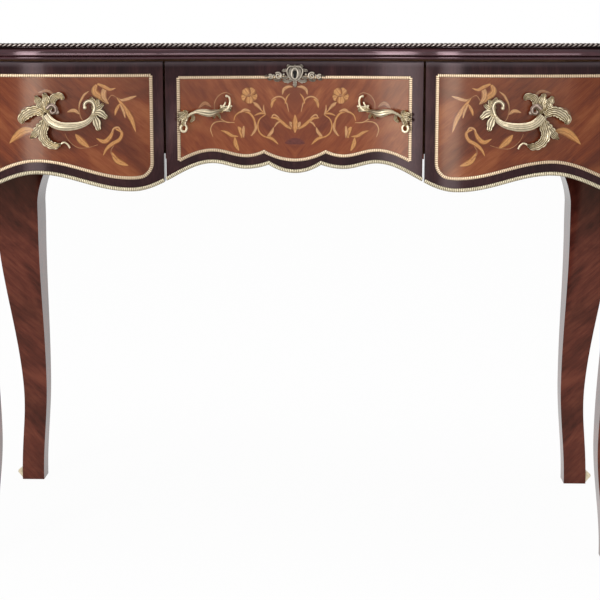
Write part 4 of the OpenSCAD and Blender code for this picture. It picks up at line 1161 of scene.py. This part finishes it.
def small_handle(side, s):
    c = Casting()
    stem = [(104, 685, 7), (111, 683.5, 12), (120, 681.5, 16), (130, 683, 17), (139, 684, 16), (147, 681, 13),
            (153, 676.5, 9)]
    c.rod(stem, lambda t: 1.9 + 3.4 * sin(pi * min(t * 1.25, 1.0)) ** 1.5, 3, 0.2)
    # The inner end: a tall hook with a knob, over a shell
    hook = [(100, 685, 8), (95, 689, 8), (92.8, 696, 8.5), (93.6, 703, 9), (97, 706, 9)]
    c.rod(hook, lambda t: 1.9 - 0.5 * t)
    c.ball(97.6, 705.5, 8.5, 2.1)
    c.leaf([(107, 686), (99, 688), (91, 685)], 9, 3, 0.12, 0.5, 0.5, flutes=4)
    c.rod([(106, 688, 8), (101, 693, 8.5), (99, 697, 8.5)], lambda t: 1.5 - 0.4 * t)
    c.ball(105.5, 691.5, 8, 1.7)
    c.ball(91.3, 691, 7, 1.8)
    # Two small leaves below it, and the outer end: a lobed leaf that turns down to a ring
    for width, lobes, cut, tip, root, flutes, *line in (
        (4, 2, 0.1, 0.4, 0.6, 3, (111, 682), (108, 677), (107, 673)),
        (4, 2, 0.1, 0.4, 0.6, 3, (111, 682), (115, 677), (116.5, 673)),
        (5.5, 2, 0.14, 0.5, 0.6, 3, (146, 681), (144.5, 674), (149, 669)),
        (6, 2, 0.16, 0.5, 0.6, 3, (153, 679), (155, 683), (157, 686)),
        (7, 2, 0.16, 0.5, 0.6, 3, (153, 677), (160, 681), (165.5, 680)),
        (7, 2, 0.16, 0.5, 0.6, 3, (153, 676), (160, 675), (166, 672)),
        (8, 3, 0.12, 0.5, 0.7, 4, (153, 678), (157, 671), (160, 664)),
    ):
        c.leaf(line, width, lobes, cut, tip, root, flutes=flutes)
    ring = [(158 + 4.2 * cos(a), 660.5 + 5 * sin(a), 7) for a in fan(60, -250, 16)]
    c.rod(ring, lambda t: 2.1 - 0.6 * t)
    c.posts(((104, 684), (156, 684)), 8, 5.2)
    c.finish(side + "_small_handle", "centre_drawer", ("centre_" + side + "_handle",), s)


for handle in (big_handle, small_handle):
    handle("left", -1)
    handle("right", 1)

# Escutcheon: pierced scrolls on each side of the keyhole


def escutcheon():
    """The casting and the dark keyhole in it; points are measured from a place at the height z."""
    c = Casting()
    z = 735.5

    def at(s, points):
        return [(s * p[0], z + p[1], *p[2:]) for p in points]

    def leaf(s, width, lobes, *points, cut=0.25, tip=0.4, root=0.5):
        c.leaf(at(s, points), width, lobes, cut, tip, root, (1.6, 1.4), 2.0, flutes=3)

    def spiral(s, x, y, r, turns, rod):
        line = []
        for t in np.linspace(0, 1, 40):
            a = 2 * pi * turns * t - 2.4
            reach = mix(r, 0.25 * r, t)
            line.append((s * (x - reach * cos(a)), z + y - reach * sin(a), 2.0 + 0.8 * t))
        c.rod(line, lambda t: rod * (1.1 - 0.4 * t))

    rim = [(4.6 * cos(a), z + 1.6 + 7.6 * sin(a), 2.6) for a in fan(0, 360, 24)]
    c.rod(rim, lambda t: 1.3 * (1.15 - 0.4 * t))
    edge = [(2, 12, 2.4), (7, 12, 2.6), (11, 7.5, 2.8), (10.5, 1, 2.6), (7, -5, 2.2), (2, -8.5, 2.4)]
    for s in (1, -1):
        # Sides of the shield, leaves on its shoulders and below it, then two spirals outwards
        c.rod(at(s, edge), lambda t: 1.7 - 0.6 * t, 2, 0.2)
        leaf(s, 5, 3, (4, 9), (8, 12.5), (12.5, 11))
        leaf(s, 5, 3, (10, 5), (14, 6.5), (19, 4.5))
        leaf(s, 5.5, 4, (3, -6), (10, -9.5), (18, -8))
        leaf(s, 4.5, 3, (9, -2), (14, -4.5), (19, -4))
        c.ball(s * 16, z + 0.5, 2.2, 1.7)
        spiral(s, 24, -1.5, 5.2, 1.5, 1.25)
        leaf(s, 3.6, 3, (20, -7), (26, -8.5), (31, -6))
        c.ball(s * 30.3, z - 0.5, 2.0, 1.3)
        spiral(s, 35, -2.8, 3.6, 1.4, 1.0)
        leaf(s, 2.6, 2, (33, -6.5), (37, -7), (40, -5), cut=0.2, tip=0.3)
        leaf(s, 3, 2, (38, -2), (41, -1.5), (43.5, -2.5), cut=0.2, tip=0.3)
    leaf(1, 5, 2, (0, 9), (0, 12), (0, 14.5), cut=0.2, tip=0.3, root=0.6)
    leaf(1, 6, 3, (0, -7), (0, -12), (0, -18), tip=0.2, root=0.7)
    # The plate behind the scrolls carries a low tone: painted shade that darkens it.
    plate = [(0, -9), (6, -6), (9.5, 0), (8.5, 7), (4, 11), (0, 12), (-4, 11), (-8.5, 7), (-9.5, 0), (-6, -6)]
    c.add([[(x, z + y, out) for x, y in plate] for out in (0.3, 1.1)], [0.35] * 20)
    c.finish("pierced_escutcheon", "centre_drawer", ("escutcheon",), 1, SILVERED)
    # The keyhole: a flat near-black sheet over the shield, painted shade standing in for the hole.
    hole = [(2.9 * cos(a), 738.5 + 3.1 * sin(a)) for a in fan(-50, 230, 24)]
    verts = [on_front(x, y, 1.5) for x, y in [(1.6, 730.0), *hole, (-1.6, 730.0)]]
    mat, nt, bsdf = material("keyhole_dark")
    dust_and_shade = noise(nt, shader(nt, "TexCoord").outputs["Object"], 900.0)
    colour = ramp(nt, dust_and_shade, [(0.35, (0.002, 0.0015, 0.001)), (0.7, (0.008, 0.005, 0.004))])
    fill(nt, bsdf, Base_Color=colour, Roughness=0.9)
    piece("keyhole", "centre_drawer", verts, [tuple(range(len(verts)))], mat, (), "marquetry")


escutcheon()

# Floor, light and camera


def seen_at_once(nt):
    """One for rays from the camera and from glossy surfaces."""
    path = shader(nt, "LightPath")
    return calc(nt, "MAXIMUM", path.outputs["Is Camera Ray"], path.outputs["Is Glossy Ray"])


me = bpy.data.meshes.new("floor")
me.from_pydata([(-40, -40, 0), (40, -40, 0), (40, 40, 0), (-40, 40, 0)], [], [(0, 1, 2, 3)])
floor = placed("floor", me)
mat, nt, _ = material("pale_floor")
nt.nodes.clear()
diffuse = shader(nt, "BsdfDiffuse", Color=(0.86, 0.86, 0.86))
glow = shader(nt, "Emission", Color=(1, 1, 1), Strength=1.0)
both = nt.nodes.new("ShaderNodeMixShader")
share = calc(nt, "MULTIPLY", seen_at_once(nt), 0.965)
for socket, link in zip(both.inputs, (share, diffuse.outputs[0], glow.outputs[0])):
    nt.links.new(link, socket)
shader(nt, "OutputMaterial", Surface=both.outputs[0])
me.materials.append(mat)

world = bpy.data.worlds.new("studio")
bpy.context.scene.world = world
world.use_nodes = True
nt = world.node_tree
strength = calc(nt, "ADD", calc(nt, "MULTIPLY", seen_at_once(nt), 0.45), 0.55)
fill(nt, nt.nodes["Background"], Color=(1, 1, 1), Strength=strength)


def soft_box(name, spot, aim, size, watts):
    light = bpy.data.lights.new(name, "AREA")
    light.shape = "RECTANGLE"
    light.size, light.size_y = size
    light.energy = watts
    ob = placed(name, light)
    ob.location = spot
    ob.rotation_euler = (Vector(aim) - Vector(spot)).to_track_quat("-Z", "Y").to_euler()


soft_box("key", (-2.19, -3.3, 1.2), (0, -0.2, 0.6), (0.85, 2.6), 58)
soft_box("strip", (0.2, -3.5, 0.745), (0.2, 0, 0.745), (5.5, 0.14), 17)
soft_box("overhead", (0.3, -0.6, 3.4), (0, 0, 0.7), (2.6, 2.0), 45)

cam = bpy.data.cameras.new("view")
cam.lens = 90
cam.sensor_width = 36
camera = placed("view", cam)
camera.location = (0.070, -2.4305, 0.7830)
camera.rotation_euler = Vector((-0.0282, 0.98510, -0.16998)).to_track_quat("-Z", "Y").to_euler()
bpy.context.scene.camera = camera
bpy.context.scene.view_settings.view_transform = "Standard"
